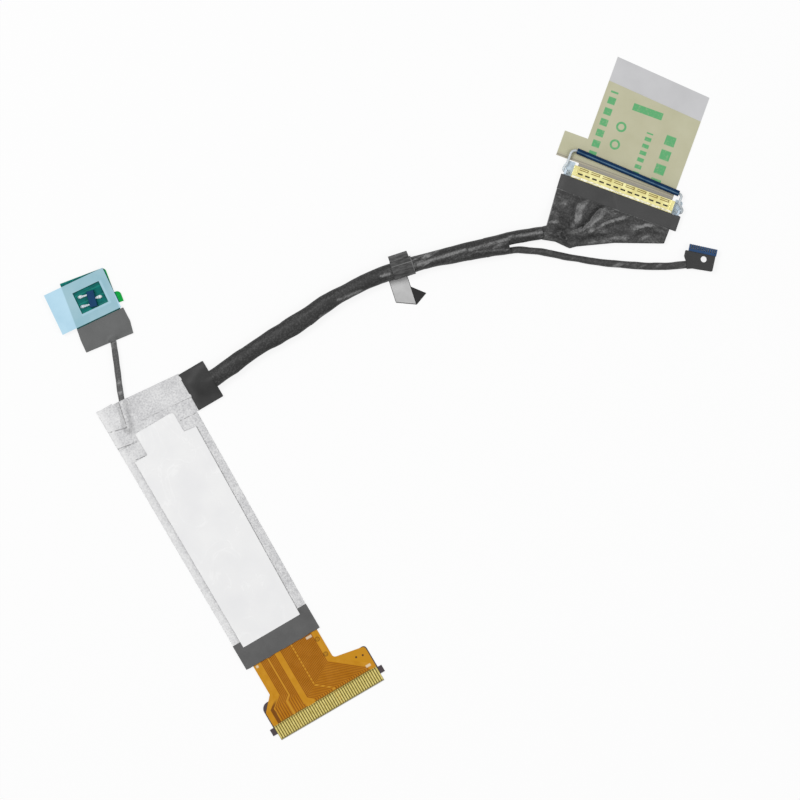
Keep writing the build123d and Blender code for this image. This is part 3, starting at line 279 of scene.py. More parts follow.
class Field:
    """A value or colour that varies over a surface. Arithmetic on it makes further nodes: | is the greater
    of two values, & the lesser, and part() what is left over the whole number."""

    __add__, __sub__, __mul__, __truediv__ = map(operation, ("ADD", "SUBTRACT", "MULTIPLY", "DIVIDE"))
    __or__, __and__, __gt__, __lt__ = map(operation, ("MAXIMUM", "MINIMUM", "GREATER_THAN", "LESS_THAN"))
    __abs__, part = map(operation, ("ABSOLUTE", "FRACT"))

    def __init__(self, socket):
        self.socket = socket
        self.tree = socket.id_data

    def __rsub__(self, other):
        return self.math("SUBTRACT", other, self)

    def math(self, name, *values, clamp=False):
        node = add_node(self.tree, "Math", values, operation=name, use_clamp=clamp)
        return Field(node.outputs[0])

    def spread(self, low, high, to_low=0.0, to_high=1.0):
        """Maps a range of the value smoothly onto another range."""
        limits = (self, low, high, to_low, to_high)
        return Field(add_node(self.tree, "MapRange", limits, interpolation_type="SMOOTHSTEP").outputs[0])

    def fall(self, low, high):
        return self.spread(low, high, 1.0, 0.0)

    def band(self, low, high, soft=0.05):
        """One between two values and nought outside them."""
        return self.spread(low - soft, low + soft) * self.fall(high - soft, high + soft)

    def stripes(self, pitch, share, soft=0.04):
        """One on each stripe of a row of stripes, which cover that share of the pitch."""
        return (self / pitch).part().band((1 - share) / 2, (1 + share) / 2, soft)

    def ramp(self, *stops):
        """A colour ramp through (position, colour) stops."""
        made = add_node(self.tree, "ValToRGB", {"Fac": self})
        elements = made.color_ramp.elements
        while len(elements) < len(stops):
            elements.new(0.5)
        for element, (position, color) in zip(elements, stops):
            element.position = position
            element.color = color
        return Field(made.outputs["Color"])

    def tones(self, low, high, start=0.3, end=0.7):
        """A ramp between two tones."""
        return self.ramp((start, srgb(*low)), (end, srgb(*high)))

    def mixed(self, mask, other):
        """The colour, with another one in its place where the mask is one."""
        made = add_node(self.tree, "Mix", {"Factor": mask, 6: self, 7: other}, data_type="RGBA")
        return Field(made.outputs[2])

    def painted(self, mask, tone, share=1.0):
        """The colour with a share of a tone laid over it where the mask is one."""
        return self.mixed(mask if share == 1.0 else mask * share, srgb(*tone))


class Shader:
    """A node material. Its coordinates are millimetres in the frame that it is given."""

    def __init__(self, name, place=FLAT, **settings):
        self.material = bpy.data.materials.new(name)
        self.material.use_nodes = True
        self.tree = self.material.node_tree
        self.surface = self.tree.nodes["Principled BSDF"]
        for key, value in settings.items():
            self.surface.inputs[key.replace("_", " ")].default_value = value
        mapping = {"Vector": self.made("TexCoord", output="Object"), "Rotation": place.to_euler(),
                   "Location": place.translation * MM, "Scale": (MM, MM, MM)}
        self.place = self.made("Mapping", mapping, vector_type="TEXTURE")
        axes = add_node(self.tree, "SeparateXYZ", [self.place])
        self.x, self.y, self.z = (Field(socket) for socket in axes.outputs)

    def made(self, kind, inputs=(), output=0, **settings):
        """A field from one output of a new node."""
        return Field(add_node(self.tree, kind, inputs, **settings).outputs[output])

    def noise(self, size, detail=3.0, stretch=(1, 1, 1), turn=0.0, distortion=0.0):
        """Cloudy noise of lumps that many mm across, in coordinates turned in degrees and then scaled."""
        mapping = {"Vector": self.place, "Rotation": (0, 0, math.radians(turn)), "Scale": stretch}
        lumps = {"Vector": self.made("Mapping", mapping), "Scale": 1 / size, "Detail": detail,
                 "Distortion": distortion}
        return self.made("TexNoise", lumps, "Fac")

    def strip(self, x_range, y_range, soft=0.05):
        """One inside a rectangle."""
        return self.x.band(*x_range, soft) * self.y.band(*y_range, soft)

    def disk(self, x, y, radius, soft=0.06):
        """One inside a circle."""
        flat = self.made("VectorMath", [self.place, (1, 1, 0)], operation="MULTIPLY")
        apart = self.made("VectorMath", [flat, (x, y, 0)], "Value", operation="DISTANCE")
        return apart.fall(radius - soft, radius + soft)

    def line(self, start, end, half, soft=0.05):
        """One along a straight line between two places."""
        length = (Vector(end) - Vector(start)).length
        run = (Vector(end) - Vector(start)).normalized()
        x, y = self.x - start[0], self.y - start[1]
        along, across = x * run.x + y * run.y, y * run.x - x * run.y
        return along.band(0.0, length, soft) * across.band(-half, half, soft)

    def leaning(self, direction, low, high):
        """One where the surface leans towards a direction."""
        sides = [self.made("TexCoord", output="Normal"), direction]
        return self.made("VectorMath", sides, "Value", operation="DOT_PRODUCT").spread(low, high)

    def finished(self, color, gloss, *bumps):
        """The material with its colour, its roughness from (factor, low, high), and bumps from (height,
        depth in mm, strength), each on top of the one before."""
        factor, low, high = gloss
        results = {"Base Color": color, "Roughness": factor.spread(0.3, 0.7, low, high)}
        under = {}
        for height, depth, strength in bumps:
            relief = {"Height": height, "Distance": depth * MM, "Strength": strength, **under}
            under = {"Normal": self.made("Bump", relief)}
        for name, field in {**results, **under}.items():
            self.tree.links.new(field.socket, self.surface.inputs[name])
        return self.material


def cloth_paint():
    """Grey conductive cloth: a fine plain weave with cloudy speckle, soft creases, worn seams and a painted shadow
    line beside the white liner.
    """
    paint = Shader("shield_cloth", Metallic=0.25, Roughness=0.55)
    speckle = paint.noise(0.35, 5.0)
    weave = paint.x.stripes(WEAVE_PITCH, 0.6, 0.2) * paint.y.stripes(WEAVE_PITCH, 0.6, 0.2)
    tone = speckle * 0.7 + paint.noise(4.0) * 0.3
    base = tone.ramp((0.36, srgb(186, 186, 188)), (0.5, srgb(210, 210, 211)), (0.64, srgb(228, 228, 228)))
    base = base.painted(paint.x.spread(*PALE_SIDE, 0.4, 0.0), grey(244))
    worn = paint.noise(0.5).spread(0.35, 0.55)
    # dark seam lines, and a painted shadow line beside the white liner, broken into dashes
    for start, end, half in SEAMS_AND_SHADOW_LINE:
        base = base.painted(paint.line(start, end, half) * worn, grey(112), 0.75)
    crease = paint.noise(2.6, 2.0, distortion=1.5)
    return paint.finished(base, (speckle, 0.5, 0.68), (crease, 0.25, 0.25), (weave, 0.02, 0.35),
                          (speckle, 0.05, 0.35))


def film_tape_paint(name, tone, place=FLAT):
    """Smooth vinyl tape with faint creases and dust."""
    paint = Shader(name, place, Roughness=0.5, Specular_IOR_Level=0.3)
    cloud = paint.noise(3.0, 4.0)
    stops = ((0.3, 0.88), (0.5, 1.0), (0.72, 1.14))
    base = cloud.ramp(*((at, srgb(*tone, share=share)) for at, share in stops))
    dust = paint.noise(0.22, 2.0).spread(0.72, 0.8)
    crease = paint.noise(1.6, 3.0, (0.5, 1.6, 1), 20)
    return paint.finished(base.painted(dust, grey(130), 0.15), (cloud, 0.42, 0.62), (crease, 0.06, 0.35),
                          (paint.noise(0.3), 0.01, 0.4))


def plain_paint(name, tone, place=FLAT, contrast=0.05, **settings):
    """An even surface with a faint cloudy tone and a fine grain."""
    paint = Shader(name, place, **{"Roughness": 0.5, "Specular_IOR_Level": 0.35, **settings})
    roughness = paint.surface.inputs["Roughness"].default_value
    cloud = paint.noise(2.5, 4.0)
    fine = paint.noise(0.3)
    base = cloud.ramp((0.32, srgb(*tone, share=1 - contrast)), (0.68, srgb(*tone, share=1 + contrast)))
    return paint.finished(base, (fine, roughness - 0.07, roughness + 0.07), (cloud, 0.05, 0.2),
                          (fine, 0.01, 0.5))


def trace_index(paint):
    """The place of the trace that runs through each point of the board plug's film, 0 at its left."""
    left_x = paint.x - (paint.y - LEFT_BEND_Y) / TRACE_SLOPE
    right_x = paint.x + (paint.y - RIGHT_BEND_Y) / TRACE_SLOPE
    low, left, right = ((x + FINGER_START) / FINGER_PITCH for x in (paint.x, left_x, right_x))
    high = (paint.x + NECK_START) / NECK_PITCH
    side = paint.x > MIRROR_X
    return ((low | right) & high) * side + ((low & left) | high) * (1.0 - side)


def greatest(fields):
    most, *others = fields
    for field in others:
        most = most | field
    return most


def wide_traces(index):
    """One on the ground areas and on the film beside the traces."""
    broad = greatest(index.band(first - 0.45, last + 0.45, 0.12) for first, last in WIDE_TRACES)
    return broad | (index > FINGER_COUNT - 1) | (index < 0)


def plug_marks(paint, index, base):
    """Lighter free places, hatched rounds and pale printed patches on the board plug's film."""
    dotted = index.band(*DOT_PLACE, 0.12) * paint.y.stripes(0.75, 0.5, 0.1)
    base = base.painted(index.band(*FREE_PLACE, 0.12) | dotted, (206, 150, 44), 0.8)
    outer, inner = HATCHED_RADII
    for x, y in HATCHED_ROUNDS:
        ring = paint.disk(x, y, outer) - paint.disk(x, y, inner)
        hatch = paint.disk(x, y, outer) * paint.x.stripes(0.3, 0.45, 0.15)
        base = base.painted(ring | hatch, (96, 56, 10), 0.6)
    for x_range, y_range in PALE_PATCHES:
        base = base.painted(paint.strip(x_range, y_range, 0.1), (232, 222, 200), 0.7)
    return base


def circuit_paint():
    """Amber film over copper: light ground areas, darker fine lines, marks and vias."""
    paint = Shader("amber_film", Roughness=0.32, Specular_IOR_Level=0.2)
    index = trace_index(paint)
    cloud = paint.noise(2.2, 4.0)
    line = (index + 0.5).part().band(0.24, 0.76, 0.12)
    base = cloud.tones((180, 114, 12), (192, 126, 18)).painted(line, (146, 84, 0), 0.45)
    base = base.painted(wide_traces(index), (200, 140, 26))
    base = base.painted(paint.y.fall(FINGER_LENGTH - 0.1, FINGER_LENGTH + 0.1), (112, 98, 40))
    base = plug_marks(paint, index, base)
    for x, y, radius in VIAS:
        base = base.painted(paint.disk(x, y, radius), (84, 54, 30))
    base = base.painted(paint.disk(*BLOTCH, 0.25), (70, 44, 60), 0.6)
    return paint.finished(base, (cloud, 0.26, 0.42), (line, 0.02, 0.4), (paint.noise(0.4), 0.01, 0.4))


def trace_paint():
    """Copper seen through the film: fine lines dark, ground areas light with a row of dots."""
    paint = Shader("buried_copper", Roughness=0.35, Specular_IOR_Level=0.2)
    index = trace_index(paint)
    cloud = paint.noise(1.6, 4.0)
    inner = index.band(*INNER_TRACE, 0.15) * paint.y.fall(6.2, 7.4)
    broad = cloud.tones((194, 132, 20), (206, 146, 32)).painted(inner, (104, 52, 12), 0.85)
    base = cloud.tones((134, 74, 0), (152, 88, 2)).mixed(wide_traces(index), broad)
    return paint.finished(plug_marks(paint, index, base), (cloud, 0.28, 0.45), (paint.noise(0.3), 0.01, 0.5))


def finger_paint():
    """Gold plated contact: bright, worn lengthwise, dark at its very end and at the film's edge."""
    paint = Shader("contact_gold", Roughness=0.3, Metallic=0.35)
    long_streak = paint.noise(0.25, 3.0, (3.0, 0.4, 1))
    ends = paint.y.fall(0.12, 0.32) | paint.y.band(2.62, 2.8, 0.06)
    base = long_streak.tones((220, 200, 104), (244, 228, 146)).painted(ends, (112, 98, 36), 0.6)
    return paint.finished(base, (long_streak, 0.22, 0.4), (long_streak, 0.015, 0.5))


def white_liner_paint():
    """Coated white paper with faint dents and creases."""
    paint = Shader("coated_white_paper", Roughness=0.6, Specular_IOR_Level=0.25)
    cloud = paint.noise(6.0)
    fiber = paint.noise(0.35, 4.0, (1.0, 0.5, 1))
    swirl = abs(paint.noise(7.0, 4.0, (1.0, 0.6, 1), 25, 1.2) - 0.5)
    crease = swirl.fall(0.0, 0.02) * cloud.spread(0.4, 0.6)
    base = cloud.tones((235, 235, 236), grey(241)).painted(crease, grey(246), 0.6)
    return paint.finished(base, (fiber, 0.5, 0.68), (cloud, 0.1, 0.2), (crease, 0.04, 0.4),
                          (fiber, 0.008, 0.4))


def tan_liner_paint():
    """Tan release paper with plain green bars, dashes and rings, greyer towards its near edge, and a painted
    shadow line along that edge.
    """
    paint = Shader("tan_paper", PANEL, Roughness=0.6, Specular_IOR_Level=0.25)
    fiber = paint.noise(0.4, 4.0)
    cloud = paint.noise(5.0)
    marks = [paint.strip(x_range, y_range) * paint.y.stripes(pitch, share)
             for x_range, y_range, pitch, share in TAN_DASHES]
    rings = [paint.disk(x, y, RING_RADII[0]) - paint.disk(x, y, RING_RADII[1]) for x, y in TAN_RINGS]
    ink = greatest([*marks, paint.strip(*TAN_BAR), *rings]) * fiber.spread(0.3, 0.5, 0.7, 0.95)
    base = cloud.tones((186, 184, 154), (194, 192, 164)).painted(ink, (88, 172, 112))
    base = base.painted(paint.y.spread(*TAN_SHADE, 0.6, 0.0), (168, 158, 146))
    # painted shadow along the liner's near edge
    base = base.painted(paint.y.band(*TAN_EDGE_SHADOW), (104, 106, 98), 0.7)
    fold = paint.y.band(*TAN_FOLD, 0.2)
    return paint.finished(base, (fiber, 0.5, 0.68), (cloud, 0.1, 0.2), (fiber, 0.01, 0.4), (fold, 0.03, 0.2))


def flap_film_paint():
    """Translucent grey film, darker where it passes under the plug."""
    paint = Shader("grey_film", PANEL, Roughness=0.4, Specular_IOR_Level=0.3)
    cloud = paint.noise(6.0)
    base = cloud.tones((195, 195, 197), (202, 202, 204)).painted(paint.y.fall(*FLAP_UNDER), (164, 160, 150))
    return paint.finished(base, (cloud, 0.35, 0.5), (paint.noise(3.0), 0.06, 0.25),
                          (paint.noise(0.4, 2.0), 0.005, 0.4))


def shell_paint():
    """Bright gold plating with darker lines round the stamped slots, and painted shade below its top face."""
    paint = Shader("bright_gold", PANEL, Roughness=0.3, Metallic=0.25)
    cloud = paint.noise(1.4, 4.0)
    rims = paint.x.stripes(SLOT_PITCH, 0.8, 0.02) * abs(paint.y - SLOT_Y).band(0.1, 0.27, 0.03)
    rims = rims * paint.x.band(-SLOT_ROW / 2, SLOT_ROW / 2)
    base = cloud.tones((240, 228, 150), (252, 246, 180)).painted(rims, (110, 92, 34), 0.6)
    # painted shade on the shell below its top face
    base = base.painted(1.0 - paint.z.spread(*SHELL_SHADE_HEIGHTS), (150, 124, 60), 0.55)
    return paint.finished(base, (cloud, 0.22, 0.4), (cloud, 0.04, 0.3), (paint.noise(0.25), 0.01, 0.5))


def housing_paint():
    """Dark insulator, tan in the row of long slots."""
    paint = Shader("housing", PANEL, Roughness=0.5, Specular_IOR_Level=0.3)
    cloud = paint.noise(2.5, 4.0)
    tan = paint.y.band(SLOT_Y - SLOT_HALF, SLOT_Y + SLOT_HALF, 0.1)
    base = cloud.tones((38, 36, 34), (54, 52, 50)).painted(tan, (150, 126, 66))
    return paint.finished(base, (cloud, 0.42, 0.58), (cloud, 0.05, 0.2), (paint.noise(0.3), 0.01, 0.5))


def solder_paint():
    """Uneven pale solder."""
    paint = Shader("pale_solder", PANEL, Roughness=0.35, Metallic=0.3)
    lumps = paint.noise(0.5, 4.0)
    base = lumps.tones((206, 196, 140), (250, 248, 232), 0.32, 0.56)
    return paint.finished(base, (lumps, 0.25, 0.5), (lumps, 0.12, 0.7))


def steel_paint(name, low, high, metallic=0.1):
    """Tinned or polished steel whose tone drifts along it."""
    paint = Shader(name, PANEL, Roughness=0.25, Metallic=metallic)
    streak = paint.noise(1.6, 3.0, (1.0, 0.4, 1))
    return paint.finished(streak.tones(low, high, 0.34, 0.66), (streak, 0.3, 0.45), (streak, 0.02, 0.2),
                          (paint.noise(0.2, 2.0), 0.002, 0.3))


def tube_paint():
    """Dark blue plastic tube with a painted highlight along its top."""
    paint = Shader("blue_tube", PANEL, Roughness=0.4, Specular_IOR_Level=0.2)
    cloud = paint.noise(2.0, 4.0)
    # painted highlight along the top of the tube
    long_streak = paint.line(*TUBE_HIGHLIGHT, 0.1, 0.08) * cloud.spread(0.3, 0.6, 0.5, 1.0)
    base = cloud.tones((0, 38, 74), (8, 50, 88)).painted(long_streak, (104, 140, 164), 0.7)
    return paint.finished(base, (cloud, 0.3, 0.5), (paint.noise(0.3), 0.01, 0.5))


def board_paint():
    """Solder mask over copper: teal with paler lines and a bright tab."""
    paint = Shader("board_mask", SENSOR_FRAME, Roughness=0.4, Specular_IOR_Level=0.1)
    cloud = paint.noise(1.2, 4.0)
    lines = paint.y.stripes(BOARD_LINE_PITCH, 0.16, 0.05)
    base = cloud.tones((0, 90, 88), (0, 116, 110)).painted(lines, (20, 146, 130), 0.5)
    base = base.painted(paint.x.spread(*TAB_X), (0, 158, 62))
    return paint.finished(base, (cloud, 0.28, 0.45), (lines, 0.03, 0.4), (paint.noise(0.3), 0.01, 0.4))


def sensor_liner_paint():
    """Pale blue film, darker where the board lies under it, with a pale rim round its window."""
    paint = Shader("pale_blue_film", SENSOR_FRAME, Roughness=0.35, Specular_IOR_Level=0.35)
    cloud = paint.noise(4.0)
    over_board = (paint.x - (paint.y - BOARD_MIDDLE_Y) * BOARD_LEAN).band(*BOARD_SIDES, 0.12)
    base = cloud.tones((172, 210, 230), (184, 220, 238))
    base = base.mixed(over_board, cloud.tones((140, 184, 198), (158, 194, 206)))
    left, right, near, far = WINDOW
    rim = paint.strip((left - 0.1, right + 0.45), (near - 0.4, far), 0.12)
    return paint.finished(base.painted(rim, (172, 210, 226), 0.5), (cloud, 0.3, 0.45), (cloud, 0.08, 0.2),
                          (paint.noise(0.5), 0.005, 0.4))


def wrap_paint(name, place, turn, dark, light, sheen_from=None, lines=(), lit=False):
    """Black wrap of conductive fabric: dark, with painted sheen in streaks and painted light on fold sides, and
    lines of painted highlight.
    """
    paint = Shader(name, place, Roughness=0.5, Specular_IOR_Level=0.28)
    speckle = paint.noise(0.32, 4.0)
    streak = paint.noise(1.3, 4.0, (0.28, 1.3, 1), turn, 0.6)
    cloud = paint.noise(3.4, 3.0, (0.6, 1.0, 1), turn)
    sheen = streak.spread(0.44, 0.72) * cloud.spread(0.36, 0.6)
    if sheen_from:
        sheen = sheen * paint.x.spread(*sheen_from, 0.08, 1.0)
    if lit:
        # painted light on the sides of the folds that lean towards LIT_SIDE
        sheen = sheen * 0.45 | paint.leaning(LIT_SIDE, 0.46, 0.86) * cloud.spread(0.3, 0.6, 0.5, 1.0)
    # lines of painted highlight
    for start, end, half in lines:
        sheen = sheen | paint.line(start, end, half, 0.25) * streak.spread(0.3, 0.6, 0.35, 0.85)
    tone = sheen.math("ADD", sheen, (speckle - 0.46) * 1.4, clamp=True)
    stops = ((0.0, dark), (0.4, round(dark + 0.35 * (light - dark))), (1.0, light))
    base = tone.ramp(*((at, srgb(*grey(level))) for at, level in stops))
    return paint.finished(base, (streak, 0.42, 0.56), (streak, 0.15, 0.35), (speckle, 0.03, 0.4))


def flag_paint():
    """Black tape with light streaks along the bundle and pale lines along two edges."""
    paint = Shader("flag_tape", FLAG, Roughness=0.45, Specular_IOR_Level=0.35)
    streak = paint.noise(0.5, 4.0, (0.3, 1.2, 1))
    edges = greatest(paint.line(start, end, 0.07) for start, end in FLAG_EDGES)
    base = streak.tones(grey(52), grey(96), 0.38).painted(edges, grey(150), 0.5)
    return paint.finished(base, (streak, 0.36, 0.52), (streak, 0.05, 0.4), (paint.noise(0.3), 0.01, 0.4))


def paint_node(node, material):
    """Gives a CAD node its material."""
    target = frame["nodes"][node].data
    target.materials.clear()
    target.materials.append(material)


# Mesh building

def new_piece(name, vertices, faces, material, place=FLAT, body="harness"):
    """A mesh from vertices in mm in a frame, riding on one of the bodies."""
    mesh = bpy.data.meshes.new(name)
    mesh.from_pydata([place @ Vector(vertex) * MM for vertex in vertices], [], faces)
    mesh.validate()
    mesh.update()
    mesh.polygons.foreach_set("use_smooth", [True] * len(mesh.polygons))
    mesh.set_sharp_from_angle(angle=math.radians(SHARP_ANGLE))
    mesh.materials.append(material)
    piece = bpy.data.objects.new(name, mesh)
    bpy.context.scene.collection.objects.link(piece)
    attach(piece, body)
    return piece


def stand_for(piece, slot, *nodes):
    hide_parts(*nodes)


def smooth_step(value, low, high):
    share = min(max((value - low) / (high - low), 0.0), 1.0)
    return share * share * (3 - 2 * share)


def bell(value):
    return math.exp(-value ** 2)


def nearest(point, start, end, low=0.0, high=1.0):
    """How far along a line a point lies, as a share held between limits, and how far from it."""
    run = end - start
    share = min(max((point - start).dot(run) / run.length_squared, low), high)
    return share, (point - start - run * share).length


def turns(count):
    return [math.tau * k / count for k in range(count)]


def ripple(seed, size):
    """A smooth, repeatable wave of two variables, about -1 to 1."""
    draws = random.Random(seed)
    waves = [(draws.uniform(-1, 1), draws.uniform(-1, 1), draws.uniform(0, math.tau)) for _ in range(7)]

    def height(x, y):
        return sum(math.sin(math.tau * (a * x + b * y) / size + c) for a, b, c in waves) / 3.2
    return height


def arc(before, corner, after, radius, steps):
    """Points along the rounding of a corner."""
    into, out = (before - corner).normalized(), (after - corner).normalized()
    half = into.angle(out) / 2
    reach = radius / math.tan(half)
    middle = corner + (into + out).normalized() * radius / math.sin(half)
    start, end = corner + into * reach - middle, corner + out * reach - middle
    return [middle + start.lerp(end, k / steps).normalized() * radius for k in range(steps + 1)]


def rounded(corners, steps=5):
    """An outline whose corners given as (x, y, radius) are rounded."""
    spots = [Vector(corner[:2]) for corner in corners]
    outline = []
    for i, corner in enumerate(corners):
        if len(corner) < 3:
            outline.append(spots[i])
        else:
            outline += arc(spots[i - 1], spots[i], spots[(i + 1) % len(spots)], corner[2], steps)
    return outline


def sides(loop):
    return zip(loop, loop[1:] + loop[:1])


def divided(outline, spacing):
    """The outline with extra points along its long edges."""
    points = []
    for here, there in sides(outline):
        count = max(1, round((there - here).length / spacing))
        points += [here.lerp(there, k / count) for k in range(count)]
    return points


def inside(point, outline):
    """Whether a point lies inside a closed outline."""
    found = False
    for a, b in sides(outline):
        if (a.y > point.y) != (b.y > point.y) and point.x < (b.x - a.x) * (point.y - a.y) / (b.y - a.y) + a.x:
            found = not found
    return found


def edge_distance(point, outline):
    return min(nearest(point, a, b)[1] for a, b in sides(outline))


def inner_points(outline, holes, spacing, draws):
    """Scattered points in staggered rows, clear of the edges."""
    left, right = min(p.x for p in outline), max(p.x for p in outline)
    near, far = min(p.y for p in outline), max(p.y for p in outline)
    clear = EDGE_CLEAR * spacing
    points = []
    for row in range(1, int((far - near) / spacing) + 1):
        for column in range(1, int((right - left) / spacing) + 1):
            x = left + (column - 0.5 * (row % 2) + draws.uniform(-SCATTER, SCATTER)) * spacing
            point = Vector((x, near + (row + draws.uniform(-SCATTER, SCATTER)) * spacing))
            in_hole = any(inside(point, hole) or edge_distance(point, hole) < clear for hole in holes)
            if edge_distance(point, outline) > clear and inside(point, outline) and not in_hole:
                points.append(point)
    return points


def height_at(height):
    return height if callable(height) else lambda x, y: height


def sheet(name, corners, low, top, material, place=FLAT, spacing=0.8, holes=(), edge=0.04, seed=1):
    """A closed sheet over an outline: low and top are heights or height functions, with small round edges."""
    outline = rounded(corners)
    loops = [divided(loop, spacing) for loop in (outline, *holes)]
    points, edges = [], []
    for loop in loops:
        start, count = len(points), len(loop)
        edges += [(start + k, start + (k + 1) % count) for k in range(count)]
        points += loop
    points += inner_points(outline, holes, spacing, random.Random(seed))
    flat, _, triangles = delaunay_2d_cdt(points, edges, [], 1, 1e-6)[:3]
    kept = []
    for triangle in triangles:
        middle = sum((flat[k] for k in triangle), Vector((0, 0))) / 3
        if inside(middle, outline) and not any(inside(middle, hole) for hole in holes):
            kept.append(list(triangle))
    count = len(flat)
    vertices = [(p.x, p.y, height_at(level)(p.x, p.y)) for level in (top, low) for p in flat]
    borders = [side for triangle in kept for side in sides(triangle)]
    known = set(borders)
    faces = kept + [[k + count for k in reversed(triangle)] for triangle in kept]
    faces += [[b, a, a + count, b + count] for a, b in borders if (b, a) not in known]
    piece = new_piece(name, vertices, faces, material, place)
    bevel = piece.modifiers.new("edge", "BEVEL")
    bevel.width = edge * MM
    bevel.segments = 2
    bevel.limit_method = "ANGLE"
    bevel.angle_limit = math.radians(BEVEL_ANGLE)
    return piece


def skin(rings, around, joined=False):
    """Faces over rings of points, with an end on the first and the last unless those are joined."""
    faces = []
    for i in range(rings if joined else rings - 1):
        here, there = i * around, (i + 1) % rings * around
        for k in range(around):
            n = (k + 1) % around
            faces.append([here + k, here + n, there + n, there + k])
    if not joined:
        faces += [list(reversed(range(around))), list(range((rings - 1) * around, rings * around))]
    return faces


def smooth_line(route, resolution=10):
    """Points in mm along the smooth line of a route's points."""
    curve = bpy.data.curves.new("route", "CURVE")
    curve.dimensions = "3D"
    curve.resolution_u = resolution
    spline = curve.splines.new("NURBS")
    spline.points.add(len(route) - 1)
    for point, place in zip(spline.points, route):
        point.co = (*place, 1.0)
    spline.order_u = 3
    spline.use_endpoint_u = True
    holder = bpy.data.objects.new("route", curve)
    bpy.context.scene.collection.objects.link(holder)
    bpy.context.view_layer.update()
    mesh = bpy.data.meshes.new_from_object(holder)
    points = [vertex.co.copy() for vertex in mesh.vertices]
    bpy.data.objects.remove(holder)
    bpy.data.curves.remove(curve)
    bpy.data.meshes.remove(mesh)
    return points


def evenly(points, spacing):
    """The same line with evenly spaced points, and the distance along it of each."""
    lengths = [0.0]
    for a, b in zip(points, points[1:]):
        lengths.append(lengths[-1] + (b - a).length)
    count = max(2, round(lengths[-1] / spacing))
    found, k = [], 0
    for i in range(count + 1):
        wanted = lengths[-1] * i / count
        while k < len(points) - 2 and lengths[k + 1] < wanted:
            k += 1
        share = (wanted - lengths[k]) / (lengths[k + 1] - lengths[k])
        found.append((points[k].lerp(points[k + 1], share), wanted))
    return found


def run_at(line, i):
    """The direction of a line of points at one of them."""
    return (line[min(i + 1, len(line) - 1)] - line[max(i - 1, 0)]).normalized()


def tube(name, route, section, material, around=28, spacing=0.45):
    """A tube along a route. section(distance, angle) gives its half width and rise at each point."""
    line = evenly(smooth_line(route), spacing)
    places = [place for place, _ in line]
    vertices = []
    for i, (place, distance) in enumerate(line):
        run = run_at(places, i)
        side = Vector((-run.y, run.x, 0)).normalized()
        for angle in turns(around):
            across, rise = section(distance, angle)
            vertices.append(place + side * across + Vector((0, 0, rise)))
    return new_piece(name, vertices, skin(len(line), around), material), [place * MM for place in places]


# Cords

def between(stops):
    """A value that runs smoothly through (distance, value) stops."""
    def value(distance):
        for (a, low), (b, high) in zip(stops, stops[1:]):
            if distance <= b:
                return low + (high - low) * smooth_step(distance, a, b)
        return stops[-1][1]
    return value


def taped_section(edges, lap, pitch, seed):
    """Section of a wrapped bundle between its right and left edges, with the laps of its tape."""
    right, left, height = (between(stops) for stops in edges)
    crease = ripple(seed, 3.1)

    def section(distance, angle):
        turn = (distance / pitch + angle / math.tau) % 1.0
        swell = lap * (0.5 - turn) + 0.03 * crease(distance, 3 * math.cos(angle))
        middle, half = (left(distance) + right(distance)) / 2, (left(distance) - right(distance)) / 2
        return middle + (half + swell) * math.cos(angle), (height(distance) / 2 + swell) * math.sin(angle)
    return section


def make_main_cable(material):
    section = taped_section(BUNDLE_EDGES, lap=0.05, pitch=8.5, seed=4)
    piece, path = tube("bundle", CABLE_ROUTE, section, material)
    stand_for(piece, "black_tape", "main_cable")


def make_branch_cable(material):
    section = taped_section(BRANCH_EDGES, lap=0.03, pitch=4.0, seed=9)
    piece, path = tube("branch_lead", BRANCH_ROUTE, section, material, around=20, spacing=0.35)
    stand_for(piece, "black_tape", "branch_cable")


def make_short_leads(material, sensor_material):
    section = taped_section(SHORT_EDGES, lap=0.05, pitch=5.0, seed=5)
    lead, _ = tube("panel_end_lead", PANEL_LEAD_ROUTE, section, material, around=24, spacing=0.4)
    stand_for(lead, "black_tape", "panel_lead")
    thin, _ = tube("sensor_wires", SENSOR_LINE, sensor_section, sensor_material, around=24, spacing=0.35)
    stand_for(thin, "black_tape", "sensor_lead")


def sensor_section(distance, angle):
    """Thin tape folded round the sensor's wires, with a ridge where its edges meet."""
    ridge_height, ridge_angle, ridge_half = 0.06, 1.3, 0.25
    inset, flat_start, flat_end, flattened = 0.03, 15.6, 17.4, 0.6
    ridge = ridge_height * bell((angle - ridge_angle) / ridge_half)
    half = SENSOR_DIA / 2 * (1 + 0.03 * math.sin(1.9 * distance)) - inset
    flat = 1 - flattened * smooth_step(distance, flat_start, flat_end)
    return (half + ridge) * math.cos(angle), (half + ridge - inset) * flat * math.sin(angle)


# Tapes and wraps

def make_split_tape(material):
    """Tape round the bundle where the branch leaves it, pinched between the two leads."""
    length, steps, around = 4.6, 14, 36
    near_middle, near_half, near_tall = -0.2, 1.87, 1.45
    far_middle, far_half, far_tall = -0.3, 2.05, 1.25
    pinch, pinch_across, pinch_half = 0.5, -0.75, 0.5
    crease = ripple(seed=12, size=2.6)

    def point(share, angle):
        middle = near_middle + (far_middle - near_middle) * share
        half = near_half + (far_half - near_half) * smooth_step(share, 0, 1)
        waist = pinch * smooth_step(share, 0.25, 1)
        waist *= bell((half * math.cos(angle) - pinch_across) / pinch_half)
        tall = near_tall + (far_tall - near_tall) * share
        rise = tall * math.sin(angle) * (1 - waist if math.sin(angle) > 0 else 1)
        swell = 0.04 * crease(4 * share, 2 * math.cos(angle)) + 0.03
        return (length * share - 0.25, middle + (half + swell) * math.cos(angle),
                CABLE_DIA / 2 + rise + swell * math.sin(angle))
    vertices = [point(i / steps, angle) for i in range(steps + 1) for angle in turns(around)]
    piece = new_piece("split_tape", vertices, skin(steps + 1, around), material, WRAP)
    stand_for(piece, "black_tape", "branch_wrap")


